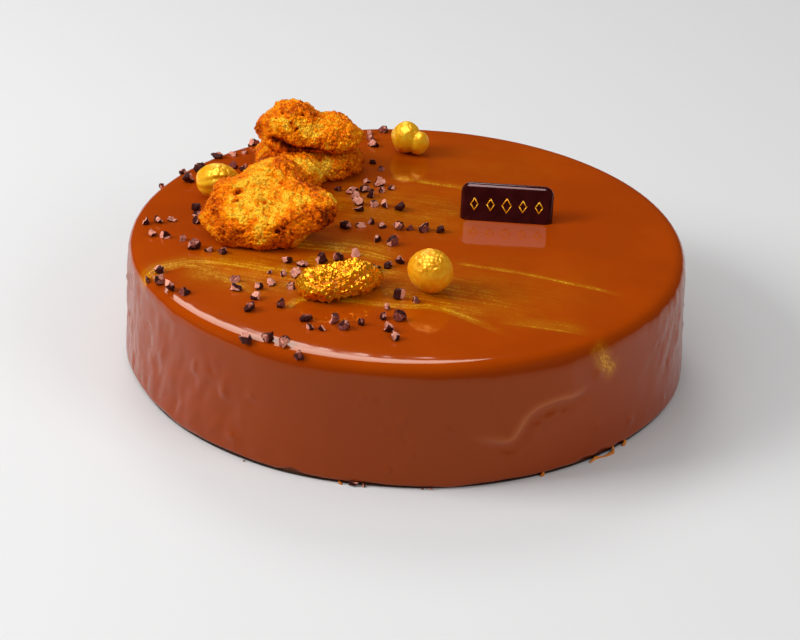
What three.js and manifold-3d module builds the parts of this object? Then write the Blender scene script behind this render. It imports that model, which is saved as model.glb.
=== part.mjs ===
// Round mirror-glazed chocolate hazelnut cake with honeycomb, gilded hazelnuts,
// a gilded praline nugget, a chocolate plaque and scattered cacao nibs.
// Millimetres, +Z up, origin at the middle of the cake's underside, front towards -Y.

import * as THREE from 'three';
import { mergeVertices } from 'three/addons/utils/BufferGeometryUtils.js';
import Module from 'manifold-3d';

// Cake body
const CAKE_RADIUS = 90;
const CAKE_HEIGHT = 40.4;
const BASE_FLARE = 1.2;
const WAIST_INSET = 0.3;
const FOOT_INSET = 3;
const FOOT_HEIGHT = 0.8;
const LIP_RADIUS = 1.4;
const CAKE_SECTORS = 96;
const WALL_STEPS = 6;
const SHOULDER_STEPS = 6;
const LIP_STEPS = 2;

// Shoulder: how far in from the wall and down from the top it rounds, and how full it is, 2 being an ellipse
const SHOULDER_REACH = 7;
const SHOULDER_DROP = 6.6;
const SHOULDER_FULLNESS = 3.6;

// Slow swells of the poured glaze round the wall: waves per turn, depth and phase
const GLAZE_SWELLS = [
  { waves: 1, depth: 0.6, phase: 2.6 },
  { waves: 2, depth: 1.2, phase: 1.7 },
  { waves: 3, depth: 0.55, phase: 0.2 },
  { waves: 7, depth: 0.15, phase: 2.1 },
  { waves: 12, depth: 0.12, phase: 4.4 },
];

// Clearance between a topping and what it rests on
const REST_GAP = 0.3;
const TOP_LEVEL = CAKE_HEIGHT + REST_GAP;
const CAKE_REST = { point: [0, 0, CAKE_HEIGHT], normal: [0, 0, 1] };

// Cacao nibs: broken shards, longer than wide and wider than high, kept apart by a share of their lengths
const NIB_LENGTH = { least: 3.4, most: 5.8 };
const NIB_SLENDERNESS = { least: 0.65, most: 0.9 };
const NIB_FLATNESS = { least: 0.55, most: 0.82 };
const NIB_ROUGHNESS = 0.3;
const NIB_TILT = 0.35;
const NIB_SINK = 0.45;
const NIB_SPACING = 0.45;
const NIB_CLEARANCE = 0.5;
const NIB_SCATTER = 0.7;
const NIB_STRAY = 0.12;
const NIB_TRIES = 60;
const NIB_SEED = 7;

// Drifts of nibs: the line on the top that each lies along, and how many nibs are strung out on it
const NIB_DRIFTS = [
  { from: [-83, 34], to: [-77, 43], count: 2 },
  { from: [-74, 36], to: [-72, 44], count: 2 },
  { from: [-66, 57], to: [-57, 61], count: 3 },
  { from: [-60, 48], to: [-57, 47], count: 2 },
  { from: [-54, 68], to: [-54, 69], count: 1 },
  { from: [-85, 2], to: [-76, 4], count: 3 },
  { from: [-82, -6], to: [-72, -10], count: 3 },
  { from: [-69, 14], to: [-68, 5], count: 3 },
  { from: [-68, -15], to: [-58, -17], count: 3 },
  { from: [-77, -32], to: [-76, -32], count: 1 },
  { from: [-80, -37], to: [-70, -46], count: 4 },
  { from: [-53, -37], to: [-52, -43], count: 2 },
  { from: [-45, -42], to: [-47, -56], count: 3 },
  { from: [-38, -53], to: [-37, -53], count: 1 },
  { from: [-43, -31], to: [-42, -38], count: 2 },
  { from: [-37, -23], to: [-38, -31], count: 2 },
  { from: [-34, -33], to: [-35, -41], count: 2 },
  { from: [-39, -38], to: [-39, -39], count: 1 },
  { from: [-32, -25], to: [-16, -17], count: 4 },
  { from: [-10, -26], to: [-2, -20], count: 3 },
  { from: [-10, -4], to: [-4, -7], count: 2 },
  { from: [-20, 4], to: [-12, 8], count: 3 },
  { from: [-8, 5], to: [10, 3], count: 5 },
  { from: [-24, 32], to: [-15, 32], count: 3 },
  { from: [-18, 27], to: [-12, 28], count: 2 },
  { from: [-17, 23], to: [-16, 18], count: 2 },
  { from: [-11, 22], to: [-5, 21], count: 3 },
  { from: [-9, 33], to: [-6, 35], count: 2 },
  { from: [-14, 41], to: [-11, 37], count: 2 },
  { from: [-13, 56], to: [-9, 50], count: 2 },
  { from: [-13, 71], to: [-15, 81], count: 3 },
  { from: [-10, 83], to: [-9, 83], count: 1 },
  { from: [-30, -61], to: [-28, -67], count: 2 },
  { from: [-24, -68], to: [-18, -66], count: 2 },
  { from: [-21, -62], to: [-13, -63], count: 2 },
  { from: [-5, -52], to: [-2, -60], count: 2 },
  { from: [-6, -59], to: [-2, -73], count: 3 },
  { from: [-2, -45], to: [3, -47], count: 2 },
  { from: [-40, -75], to: [-45, -77], count: 2 },
  { from: [-41, -79], to: [-30, -83], count: 2 },
];

// How sharply neighbouring lumps of one piece meet
const LUMP_BLEND = 9;

// Where one honeycomb piece rests on another: a point of the joint and the way it faces
const STACK_REST = { point: [-34, 50, 50.6], normal: [0, 0, 1] };
const LEAN_REST = { point: [-42, 24, 49.6], normal: [0.07, -0.29, 0.95] };

// Honeycomb: the middle of each piece, how it leans, and the swollen lumps that it is made of
const HONEYCOMB_RELIEF = { depth: 4, wavelength: 11, waves: 5 };
const HONEYCOMB_DETAIL = 7;
const HONEYCOMB_FRONT = {
  centre: [-44.8, 2.8, 49.5],
  lean: [0.3, -0.07, 0],
  seed: 11,
  lumps: [
    { at: [-1, -8, 0], size: [21, 13, 7.5] },
    { at: [-9.6, -1.4, 0.4], size: [11.6, 11.8, 7.2] },
    { at: [9.4, -4.4, 1.2], size: [12.8, 10.8, 5.8] },
    { at: [1, 7.6, -0.4], size: [11.2, 12.6, 6.6] },
  ],
  restsOn: [LEAN_REST],
  carries: [],
};
const HONEYCOMB_BASE = {
  centre: [-34, 45, 45],
  lean: [0, 0, 0],
  seed: 23,
  lumps: [
    { at: [-2, 6, -1], size: [17, 14, 7.5] },
    { at: [6.6, 4, -1], size: [11.4, 11.6, 7] },
    { at: [-6, -8, -1], size: [12, 14, 7] },
  ],
  restsOn: [],
  carries: [STACK_REST, LEAN_REST],
};
const HONEYCOMB_TOP = {
  centre: [-34, 50, 56.5],
  lean: [0.05, 0.05, 0],
  seed: 37,
  lumps: [
    { at: [-6, 0, -2.8], size: [12.4, 12, 9.6] },
    { at: [7, -1, -3.2], size: [11.8, 11, 6.9] },
  ],
  restsOn: [STACK_REST],
  carries: [],
};

// Gilded praline nugget
const NUGGET = {
  centre: [-20.5, -42, 44.5],
  lean: [0, -0.05, 0.3],
  seed: 53,
  lumps: [
    { at: [-4.5, -0.5, -0.7], size: [9, 8, 5.1] },
    { at: [3.5, 0.5, -0.1], size: [8.5, 8, 5.2] },
    { at: [8.5, 1, -1.5], size: [5, 4.5, 3.6] },
  ],
  restsOn: [],
  carries: [],
};
const NUGGET_RELIEF = { depth: 2.6, wavelength: 6, waves: 5 };
const NUGGET_DETAIL = 6;

// Gilded hazelnuts: widest radius, length from stalk scar to tip, and how they lie
const HAZELNUT_FRONT = { at: [7.5, -39], radius: 7.4, length: 13.3, tipRise: 0.35, turn: 0.1, pitch: 0.35 };
const HAZELNUT_LEFT = { at: [-64, 25], radius: 5.6, length: 14, tipRise: 0.9, turn: 0.15, pitch: 1.45 };
const HAZELNUT_BACK = [
  { at: [-1.4, 66.4], radius: 5.3, length: 10.8, tipRise: 0.3, turn: 2.4, pitch: 0.3 },
  { at: [2.5, 64.8], radius: 4, length: 8.6, tipRise: 0.3, turn: -0.5, pitch: 0.6 },
];
const HAZELNUT_SECTORS = 20;
const HAZELNUT_RINGS = 12;
const HAZELNUT_SCAR_INSET = 0.5;
const HAZELNUT_SCAR_END = 0.25;
const HAZELNUT_TIP_START = 0.75;

// Chocolate plaque: a cast tile with a pillowed face, leaning back on its lower edge
const PLAQUE_WIDTH = 30.4;
const PLAQUE_HEIGHT = 10.1;
const PLAQUE_CORNER = 1.2;
const PLAQUE_DEPTH = 3.6;
const PLAQUE_PILLOW = 2;
const PLAQUE_CURVE_STEPS = 4;
const PLAQUE_PILLOW_STEPS = 3;
const PLAQUE_AT = [32.3, 16.4];
const PLAQUE_TURN = -0.07;
const PLAQUE_LEAN = 0.38;
const PLAQUE_SEAT = 0.9;

// Finishes
function finish(name, color, roughness, metalness) {
  return new THREE.MeshStandardMaterial({ name, color, roughness, metalness });
}
const GLAZE = finish('glaze', 0xa44104, 0.1, 0);
const HONEYCOMB = finish('honeycomb', 0xe3941a, 0.5, 0);
const GOLD = finish('gold', 0xd8a024, 0.35, 0.9);
const CHOCOLATE = finish('chocolate', 0x360a09, 0.2, 0);

const wasm = await Module();
wasm.setup();

// Vertices closer than this are one vertex
const WELD_DISTANCE = 1e-4;

// Same numbers on every run, from 0 up to 1
function seededDraw(seed) {
  let state = seed >>> 0;
  return () => {
    state = (state + 0x6d2b79f5) >>> 0;
    let mixed = Math.imul(state ^ (state >>> 15), state | 1);
    mixed ^= mixed + Math.imul(mixed ^ (mixed >>> 7), mixed | 61);
    return ((mixed ^ (mixed >>> 14)) >>> 0) / 2 ** 32;
  };
}

function between(draw, range) {
  return range.least + (range.most - range.least) * draw();
}

// Drops normals and texture coordinates and joins the vertices that faces share
function welded(geometry) {
  const bare = geometry.clone();
  bare.deleteAttribute('normal');
  bare.deleteAttribute('uv');
  return mergeVertices(bare, WELD_DISTANCE);
}

function toSolid(geometry) {
  const joined = welded(geometry);
  return new wasm.Manifold(
    new wasm.Mesh({
      numProp: 3,
      vertProperties: new Float32Array(joined.attributes.position.array),
      triVerts: new Uint32Array(joined.index.array),
    }),
  );
}

function fromSolid(solid) {
  const mesh = solid.getMesh();
  const geometry = new THREE.BufferGeometry();
  geometry.setAttribute('position', new THREE.BufferAttribute(mesh.vertProperties, 3));
  geometry.setIndex(new THREE.BufferAttribute(mesh.triVerts, 1));
  geometry.computeVertexNormals();
  return geometry;
}

function namedMesh(name, geometry, material) {
  const mesh = new THREE.Mesh(geometry, material);
  mesh.name = name;
  return mesh;
}

function glazeSwell(angle) {
  return GLAZE_SWELLS.reduce(
    (sum, { waves, depth, phase }) => sum + depth * Math.cos(waves * angle + phase),
    0,
  );
}

// Half section of the cake: recessed foot, rolled lip, waisted wall and full shoulder
function cakeProfile() {
  const footRadius = CAKE_RADIUS - FOOT_INSET;
  const lipRadius = CAKE_RADIUS + BASE_FLARE;
  const lipCentre = FOOT_HEIGHT + LIP_RADIUS;
  const shoulderLevel = CAKE_HEIGHT - SHOULDER_DROP;
  const points = [
    new THREE.Vector2(0, 0),
    new THREE.Vector2(footRadius, 0),
    new THREE.Vector2(footRadius, FOOT_HEIGHT),
  ];
  for (let step = 0; step < LIP_STEPS; step += 1) {
    const turn = (Math.PI / 2) * (step / LIP_STEPS);
    const out = lipRadius - LIP_RADIUS + LIP_RADIUS * Math.sin(turn);
    points.push(new THREE.Vector2(out, lipCentre - LIP_RADIUS * Math.cos(turn)));
  }
  for (let step = 0; step <= WALL_STEPS; step += 1) {
    const rise = step / WALL_STEPS;
    const waist = WAIST_INSET * Math.sin(Math.PI * rise) ** 2;
    const out = THREE.MathUtils.lerp(lipRadius, CAKE_RADIUS, rise) - waist;
    points.push(new THREE.Vector2(out, THREE.MathUtils.lerp(lipCentre, shoulderLevel, rise)));
  }
  for (let step = 1; step <= SHOULDER_STEPS; step += 1) {
    const turn = (Math.PI / 2) * (step / SHOULDER_STEPS);
    const out = SHOULDER_REACH * Math.max(Math.cos(turn), 0) ** (2 / SHOULDER_FULLNESS);
    const up = SHOULDER_DROP * Math.sin(turn) ** (2 / SHOULDER_FULLNESS);
    points.push(new THREE.Vector2(CAKE_RADIUS - SHOULDER_REACH + out, shoulderLevel + up));
  }
  points.push(new THREE.Vector2(0, CAKE_HEIGHT));
  return points;
}

function cakeBody() {
  const geometry = new THREE.LatheGeometry(cakeProfile(), CAKE_SECTORS);
  geometry.rotateX(Math.PI / 2);
  const position = geometry.attributes.position;
  const shoulderLevel = CAKE_HEIGHT - SHOULDER_DROP;
  for (let i = 0; i < position.count; i += 1) {
    const x = position.getX(i);
    const y = position.getY(i);
    const z = position.getZ(i);
    const reach = Math.hypot(x, y);
    const onWall = z > FOOT_HEIGHT ? 1 - THREE.MathUtils.smoothstep(z, shoulderLevel, CAKE_HEIGHT) : 0;
    const stretch = reach > 0 ? 1 + (onWall * glazeSwell(Math.atan2(y, x))) / reach : 1;
    position.setXY(i, x * stretch, y * stretch);
  }
  return geometry;
}

// Where the glaze lies under a point of the plan, with the direction that it faces
function glazeSurface(x, y) {
  const reach = Math.hypot(x, y);
  const over = Math.max(reach - (CAKE_RADIUS - SHOULDER_REACH), 0) / SHOULDER_REACH;
  const lift = (1 - over ** SHOULDER_FULLNESS) ** (1 / SHOULDER_FULLNESS);
  const out = over ** (SHOULDER_FULLNESS - 1) / SHOULDER_REACH;
  const up = lift ** (SHOULDER_FULLNESS - 1) / SHOULDER_DROP;
  const normal = new THREE.Vector3((x / reach) * out, (y / reach) * out, up).normalize();
  const point = new THREE.Vector3(x, y, CAKE_HEIGHT - SHOULDER_DROP * (1 - lift));
  return { point, normal };
}

// One broken shard, seated a little way into the glaze
function nibGeometry(draw, length, x, y) {
  const geometry = welded(new THREE.IcosahedronGeometry(length / 2, 0));
  const position = geometry.attributes.position;
  for (let i = 0; i < position.count; i += 1) {
    const chip = 1 + NIB_ROUGHNESS * (draw() - 0.5);
    position.setXYZ(i, position.getX(i) * chip, position.getY(i) * chip, position.getZ(i) * chip);
  }
  geometry.scale(1, between(draw, NIB_SLENDERNESS), between(draw, NIB_FLATNESS));
  geometry.rotateX(NIB_TILT * (2 * draw() - 1));
  geometry.rotateY(NIB_TILT * (2 * draw() - 1));
  geometry.rotateZ(2 * Math.PI * draw());
  geometry.computeBoundingBox();
  geometry.translate(0, 0, -geometry.boundingBox.min.z - NIB_SINK);
  const { point, normal } = glazeSurface(x, y);
  const upright = new THREE.Vector3(0, 0, 1);
  const lean = new THREE.Quaternion().setFromUnitVectors(upright, normal);
  geometry.applyQuaternion(lean);
  geometry.translate(point.x, point.y, point.z);
  return geometry;
}

// Moves a nib about its spot on a drift, further at each try, until it is clear of nibs and toppings
function nibPlace(draw, spot, length, placed, footprint) {
  const reachLimit = CAKE_RADIUS - length / 4;
  for (let attempt = 0; attempt < NIB_TRIES; attempt += 1) {
    const scatter = NIB_SCATTER + NIB_STRAY * attempt;
    const x = spot.x + scatter * (2 * draw() - 1);
    const y = spot.y + scatter * (2 * draw() - 1);
    const blocked = placed.some(
      (nib) => Math.hypot(nib.x - x, nib.y - y) < NIB_SPACING * (nib.length + length),
    );
    const covered = footprint.some(
      (edge) => Math.hypot(edge.x - x, edge.y - y) < length / 2 + NIB_CLEARANCE,
    );
    if (Math.hypot(x, y) < reachLimit && !blocked && !covered) {
      return { x, y, length };
    }
  }
  return null;
}

// The spots on the cake that the low vertices of a topping stand over
function planSpots(topping) {
  const position = topping.geometry.attributes.position;
  const spots = Array.from({ length: position.count }, (_, i) => {
    return { x: position.getX(i), y: position.getY(i), z: position.getZ(i) };
  });
  return spots.filter((spot) => spot.z < TOP_LEVEL + NIB_LENGTH.most);
}

function glazedCake(toppings) {
  const draw = seededDraw(NIB_SEED);
  const footprint = toppings.flatMap(planSpots);
  const placed = [];
  const solids = [toSolid(cakeBody())];
  for (const { from, to, count } of NIB_DRIFTS) {
    for (let nib = 0; nib < count; nib += 1) {
      const along = count > 1 ? nib / (count - 1) : 0.5;
      const spot = {
        x: THREE.MathUtils.lerp(from[0], to[0], along),
        y: THREE.MathUtils.lerp(from[1], to[1], along),
      };
      const place = nibPlace(draw, spot, between(draw, NIB_LENGTH), placed, footprint);
      if (place) {
        placed.push(place);
        solids.push(toSolid(nibGeometry(draw, place.length, place.x, place.y)));
      }
    }
  }
  return namedMesh('glazed_cake', fromSolid(wasm.Manifold.union(solids)), GLAZE);
}

// Crests above and hollows below zero, as the mean of folded waves in seeded directions
function reliefField(seed, { wavelength, waves }) {
  const draw = seededDraw(seed);
  const trains = Array.from({ length: waves }, () => {
    const height = 2 * draw() - 1;
    const turn = 2 * Math.PI * draw();
    const across = Math.sqrt(1 - height ** 2);
    const direction = new THREE.Vector3(across * Math.cos(turn), across * Math.sin(turn), height);
    return { direction: direction.multiplyScalar(Math.PI / wavelength), phase: Math.PI * draw() };
  });
  const meanFold = 2 / Math.PI;
  const fold = (point, train) => meanFold - Math.abs(Math.sin(point.dot(train.direction) + train.phase));
  return (point) => trains.reduce((sum, train) => sum + fold(point, train), 0) / waves;
}

// How far a ray from the middle runs before it leaves the lumps, blended where they meet
function lumpReach(lumps, ray) {
  let total = 0;
  for (const lump of lumps) {
    const size = new THREE.Vector3(...lump.size);
    const direction = ray.clone().divide(size);
    const offset = new THREE.Vector3(...lump.at).divide(size);
    const along = direction.dot(offset);
    const lengthSquared = direction.lengthSq();
    const inside = along ** 2 - lengthSquared * (offset.lengthSq() - 1);
    if (inside > 0) {
      total += ((along + Math.sqrt(inside)) / lengthSquared) ** LUMP_BLEND;
    }
  }
  return total ** (1 / LUMP_BLEND);
}

// A flat on a lump: the way it faces in the lump's own axes, and its distance from the middle
function flat(crag, unlean, { point, normal }, facing, clearance) {
  const outward = new THREE.Vector3(...normal).normalize().multiplyScalar(facing);
  const offset = new THREE.Vector3(...point).sub(new THREE.Vector3(...crag.centre));
  return { distance: outward.dot(offset) - clearance, normal: outward.applyQuaternion(unlean) };
}

// A craggy lump, flat where it sits on the cake or meets its neighbours
function cragGeometry(crag, relief, detail) {
  const geometry = welded(new THREE.IcosahedronGeometry(1, detail));
  const position = geometry.attributes.position;
  const rise = reliefField(crag.seed, relief);
  const lean = new THREE.Quaternion().setFromEuler(new THREE.Euler(...crag.lean));
  const unlean = lean.clone().invert();
  const flats = [
    ...[CAKE_REST, ...crag.restsOn].map((rest) => flat(crag, unlean, rest, -1, REST_GAP)),
    ...crag.carries.map((rest) => flat(crag, unlean, rest, 1, 0)),
  ];
  const ray = new THREE.Vector3();
  for (let i = 0; i < position.count; i += 1) {
    ray.fromBufferAttribute(position, i).normalize();
    let reach = lumpReach(crag.lumps, ray);
    reach += relief.depth * rise(ray.clone().multiplyScalar(reach));
    for (const { normal, distance } of flats) {
      const facing = ray.dot(normal);
      reach = facing > 0 ? Math.min(reach, distance / facing) : reach;
    }
    position.setXYZ(i, ray.x * reach, ray.y * reach, ray.z * reach);
  }
  geometry.applyQuaternion(lean);
  geometry.translate(...crag.centre);
  geometry.computeVertexNormals();
  return geometry;
}

function honeycomb(name, crag) {
  return namedMesh(name, cragGeometry(crag, HONEYCOMB_RELIEF, HONEYCOMB_DETAIL), HONEYCOMB);
}

function gildedNugget() {
  return namedMesh('gilded_nugget', cragGeometry(NUGGET, NUGGET_RELIEF, NUGGET_DETAIL), GOLD);
}

// A kernel turned about its own axis: dished stalk scar below, pointed tip above
function hazelnutGeometry(nut) {
  const profile = [];
  for (let ring = 0; ring <= HAZELNUT_RINGS; ring += 1) {
    const share = ring / HAZELNUT_RINGS;
    const turn = Math.PI * share;
    const scar = HAZELNUT_SCAR_INSET * (1 - THREE.MathUtils.smoothstep(share, 0, HAZELNUT_SCAR_END));
    const tip = nut.tipRise * THREE.MathUtils.smoothstep(share, HAZELNUT_TIP_START, 1);
    const height = (-nut.length / 2) * Math.cos(turn) + scar + tip;
    profile.push(new THREE.Vector2(ring % HAZELNUT_RINGS === 0 ? 0 : nut.radius * Math.sin(turn), height));
  }
  const geometry = new THREE.LatheGeometry(profile, HAZELNUT_SECTORS);
  geometry.rotateX(Math.PI / 2);
  geometry.rotateY(nut.pitch);
  geometry.rotateZ(nut.turn);
  geometry.computeBoundingBox();
  geometry.translate(nut.at[0], nut.at[1], TOP_LEVEL - geometry.boundingBox.min.z);
  return geometry;
}

function hazelnut(name, lobes) {
  const solid = lobes.map((lobe) => toSolid(hazelnutGeometry(lobe))).reduce((body, lobe) => body.add(lobe));
  return namedMesh(name, fromSolid(solid), GOLD);
}

function roundedRectangle(width, height, corner) {
  const left = -width / 2;
  const shape = new THREE.Shape();
  shape.moveTo(left + corner, 0);
  shape.lineTo(-left - corner, 0);
  shape.absarc(-left - corner, corner, corner, -Math.PI / 2, 0, false);
  shape.lineTo(-left, height - corner);
  shape.absarc(-left - corner, height - corner, corner, 0, Math.PI / 2, false);
  shape.lineTo(left + corner, height);
  shape.absarc(left + corner, height - corner, corner, Math.PI / 2, Math.PI, false);
  shape.lineTo(left, corner);
  shape.absarc(left + corner, corner, corner, Math.PI, 1.5 * Math.PI, false);
  return shape;
}

// Flat-backed tile, cut level along its foot where it stands on the glaze
function plaque() {
  const faceWidth = PLAQUE_WIDTH - 2 * PLAQUE_PILLOW;
  const faceHeight = PLAQUE_HEIGHT - PLAQUE_PILLOW;
  const outline = roundedRectangle(faceWidth, faceHeight, PLAQUE_CORNER);
  const pillow = new THREE.ExtrudeGeometry(outline, {
    depth: PLAQUE_DEPTH - PLAQUE_PILLOW,
    curveSegments: PLAQUE_CURVE_STEPS,
    bevelThickness: PLAQUE_PILLOW,
    bevelSize: PLAQUE_PILLOW,
    bevelSegments: PLAQUE_PILLOW_STEPS,
  });
  const reach = 2 * PLAQUE_WIDTH;
  const behind = new THREE.BoxGeometry(reach, reach, reach);
  behind.translate(0, 0, -reach / 2);
  const tile = fromSolid(toSolid(pillow).subtract(toSolid(behind)));
  tile.rotateX(Math.PI / 2 - PLAQUE_LEAN);
  tile.rotateZ(PLAQUE_TURN);
  tile.translate(PLAQUE_AT[0], PLAQUE_AT[1], CAKE_HEIGHT + PLAQUE_SEAT);
  const below = new THREE.BoxGeometry(reach, reach, reach);
  below.translate(PLAQUE_AT[0], PLAQUE_AT[1], TOP_LEVEL - reach / 2);
  return namedMesh('chocolate_plaque', fromSolid(toSolid(tile).subtract(toSolid(below))), CHOCOLATE);
}

const toppings = [
  honeycomb('honeycomb_front', HONEYCOMB_FRONT),
  honeycomb('honeycomb_base', HONEYCOMB_BASE),
  honeycomb('honeycomb_top', HONEYCOMB_TOP),
  gildedNugget(),
  hazelnut('hazelnut_front', [HAZELNUT_FRONT]),
  hazelnut('hazelnut_left', [HAZELNUT_LEFT]),
  hazelnut('hazelnut_back', HAZELNUT_BACK),
  plaque(),
];

const cake = new THREE.Group();
cake.name = 'chocolate_hazelnut_cake';
cake.add(glazedCake(toppings), ...toppings);

export default cake;
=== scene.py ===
"""Looks of a mirror-glazed chocolate hazelnut cake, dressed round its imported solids.

Sizes are in millimetres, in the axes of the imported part: +Z up, origin at the middle of the
cake's underside, front towards -Y. Meshes are scaled to metres when they are made.
"""

import itertools
import logging
import math
from dataclasses import dataclass, field
from enum import Enum

import bmesh
import bpy
import numpy as np
from mathutils import Euler, Matrix, Vector


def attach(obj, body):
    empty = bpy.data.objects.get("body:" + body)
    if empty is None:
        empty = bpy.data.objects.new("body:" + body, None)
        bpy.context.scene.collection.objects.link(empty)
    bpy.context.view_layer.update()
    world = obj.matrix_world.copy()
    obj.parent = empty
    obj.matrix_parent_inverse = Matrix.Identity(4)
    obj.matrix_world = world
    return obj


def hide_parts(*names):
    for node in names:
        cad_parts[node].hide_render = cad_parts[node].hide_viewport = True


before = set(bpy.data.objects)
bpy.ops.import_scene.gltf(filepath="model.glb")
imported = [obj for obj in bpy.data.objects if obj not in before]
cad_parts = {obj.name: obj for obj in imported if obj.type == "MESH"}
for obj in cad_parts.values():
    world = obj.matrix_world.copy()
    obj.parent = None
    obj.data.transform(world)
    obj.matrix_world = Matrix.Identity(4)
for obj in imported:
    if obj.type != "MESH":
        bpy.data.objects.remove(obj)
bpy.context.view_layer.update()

log = logging.getLogger("cake")

MM = 0.001
CAKE_RADIUS = 90.0
TOP_LEVEL = 40.4
WELD_GAP = 0.01
BODY = "root"

Colour = tuple[float, float, float]
Point = tuple[float, float, float]
Span = tuple[float, float]
Spot = tuple[float, float, float, float]
Face = tuple[int, ...]


class Slot(Enum):
    """Material slots of the record."""

    GLAZE = "glaze"
    HONEYCOMB = "honeycomb"
    GOLD = "gold"
    CHOCOLATE = "chocolate"
    CACAO = "cacao"


def rgba(colour: Colour) -> tuple[float, float, float, float]:
    """A colour with full opacity."""
    return (*colour, 1.0)


def ease(values: np.ndarray, low: float, high: float) -> np.ndarray:
    """Smooth step from 0 at low to 1 at high.

    Args:
        values: numbers to map.
        low: where the step starts.
        high: where the step ends.

    Returns:
        Numbers from 0 to 1, as many as the values.
    """
    share = np.clip((values - low) / (high - low), 0.0, 1.0)
    return share * share * (3.0 - 2.0 * share)


def bell(offset: np.ndarray, reach: float | np.ndarray) -> np.ndarray:
    """A smooth hump, 1 at no offset and all but gone at two reaches."""
    return np.exp(-((offset / reach) ** 2))


class Grain:
    """Seeded noise over points, for relief and tone."""

    AXIS_FACTORS = np.array((374761393, 668265263, 1442695041))
    SALT_FACTOR = 974634777
    STIR_FACTORS = (1274126177, 374761393)
    SALTS = 31
    LOW_BITS = 0xFFFFFF
    OCTAVE_TURN = (0.9, 0.5, 1.3)
    OCTAVE_SHIFT = 17.3

    def __init__(self, seed: int) -> None:
        """Keeps the seed."""
        self.seed = seed

    def draw(self, cells: np.ndarray, salt: int) -> np.ndarray:
        """A fixed number from 0 to 1 for each whole-number cell.

        Args:
            cells: cell indices, one row of three for each number.
            salt: picks one of several independent numbers.

        Returns:
            One number for each row.
        """
        mixed = cells @ self.AXIS_FACTORS + (self.seed * self.SALTS + salt) * self.SALT_FACTOR
        mixed = (mixed ^ (mixed >> 13)) * self.STIR_FACTORS[0]
        mixed = (mixed ^ (mixed >> 15)) * self.STIR_FACTORS[1]
        return ((mixed ^ (mixed >> 16)) & self.LOW_BITS) / self.LOW_BITS

    def smooth(self, points: np.ndarray, size: float) -> np.ndarray:
        """Soft hills and hollows from -1 to 1.

        Args:
            points: places to read, one row each.
            size: distance from one hill to the next.

        Returns:
            One number for each point.
        """
        scaled = points / size
        base = np.floor(scaled).astype(np.int64)
        part = scaled - base
        eased = part**3 * (part * (6.0 * part - 15.0) + 10.0)
        total = np.zeros(len(points))
        for corner in itertools.product((0, 1), repeat=3):
            weight = np.prod(np.where(corner, eased, 1.0 - eased), axis=1)
            total += weight * (2.0 * self.draw(base + corner, 0) - 1.0)
        return total

    def rough(self, points: np.ndarray, size: float, octaves: int) -> np.ndarray:
        """Hills with smaller hills on them, from about -1 to 1.

        Args:
            points: places to read, one row each.
            size: distance between the largest hills.
            octaves: how many sizes are laid over each other, each half the last.

        Returns:
            One number for each point.
        """
        turn = np.array(Euler(self.OCTAVE_TURN).to_matrix())
        total = np.zeros(len(points))
        weight = 1.0
        for _ in range(octaves):
            total += weight * self.smooth(points, size)
            points = points @ turn + self.OCTAVE_SHIFT
            size *= 0.5
            weight *= 0.5
        return total / (2.0 - 2.0 * weight)

    def cells(self, points: np.ndarray, size: float) -> tuple[np.ndarray, np.ndarray]:
        """Grains scattered about one to a cell.

        Args:
            points: places to read, one row each.
            size: spacing of the grains.

        Returns:
            Distance to the nearest grain, in spacings, and that grain's own number.
        """
        scaled = points / size
        base = np.floor(scaled).astype(np.int64)
        nearest = np.full(len(points), np.inf)
        own = np.zeros(len(points))
        for offset in itertools.product((-1, 0, 1), repeat=3):
            cell = base + offset
            middle = cell + np.stack([self.draw(cell, axis) for axis in (1, 2, 3)], axis=1)
            distance = np.linalg.norm(middle - scaled, axis=1)
            closer = distance < nearest
            own = np.where(closer, self.draw(cell, 4), own)
            nearest = np.where(closer, distance, nearest)
        return nearest, own


@dataclass(frozen=True)
class Wave:
    """A layer of relief: its depth, the distance between its hills, and how many sizes of hill it has."""

    depth: float
    size: float
    octaves: int = 2

    def over(self, points: np.ndarray, seed: int) -> np.ndarray:
        """How far the layer stands out at each point."""
        return self.depth * Grain(seed).rough(points, self.size, self.octaves)


@dataclass(frozen=True)
class Trail:
    """A smooth line through a few points."""

    points: tuple[tuple[float, ...], ...]
    steps: int = 8

    def line(self) -> np.ndarray:
        """The line, with rounded corners.

        Returns:
            Its points, one row each.
        """
        given = np.array(self.points, float)
        padded = np.vstack([2 * given[0] - given[1], given, 2 * given[-1] - given[-2]])
        share = np.linspace(0.0, 1.0, self.steps, endpoint=False)[:, None]
        bends = []
        for a, b, c, d in zip(padded, padded[1:], padded[2:], padded[3:]):
            cubic = (3 * b - a - 3 * c + d) * share**3 + (2 * a - 5 * b + 4 * c - d) * share**2
            bends.append(0.5 * (cubic + (c - a) * share + 2 * b))
        return np.vstack([*bends, given[-1]])

    def nearest(self, places: np.ndarray) -> tuple[np.ndarray, np.ndarray, float]:
        """How far places lie from the line, and how far along it.

        Args:
            places: points to measure, one row each.

        Returns:
            Distance from the line, negative on its right in plan, the length along it, and its whole length.
        """
        line = self.line()
        best = np.full(len(places), np.inf)
        along = np.zeros(len(places))
        run = 0.0
        for start, end in zip(line, line[1:]):
            stretch = end - start
            length = float(np.linalg.norm(stretch))
            share = np.clip((places - start) @ stretch / length**2, 0.0, 1.0)
            offset = places - (start + share[:, None] * stretch)
            distance = np.linalg.norm(offset, axis=1)
            side = np.where(stretch[0] * offset[:, 1] - stretch[1] * offset[:, 0] < 0, -1.0, 1.0)
            closer = distance < np.abs(best)
            best = np.where(closer, side * distance, best)
            along = np.where(closer, run + share * length, along)
            run += length
        return best, along, run


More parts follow.
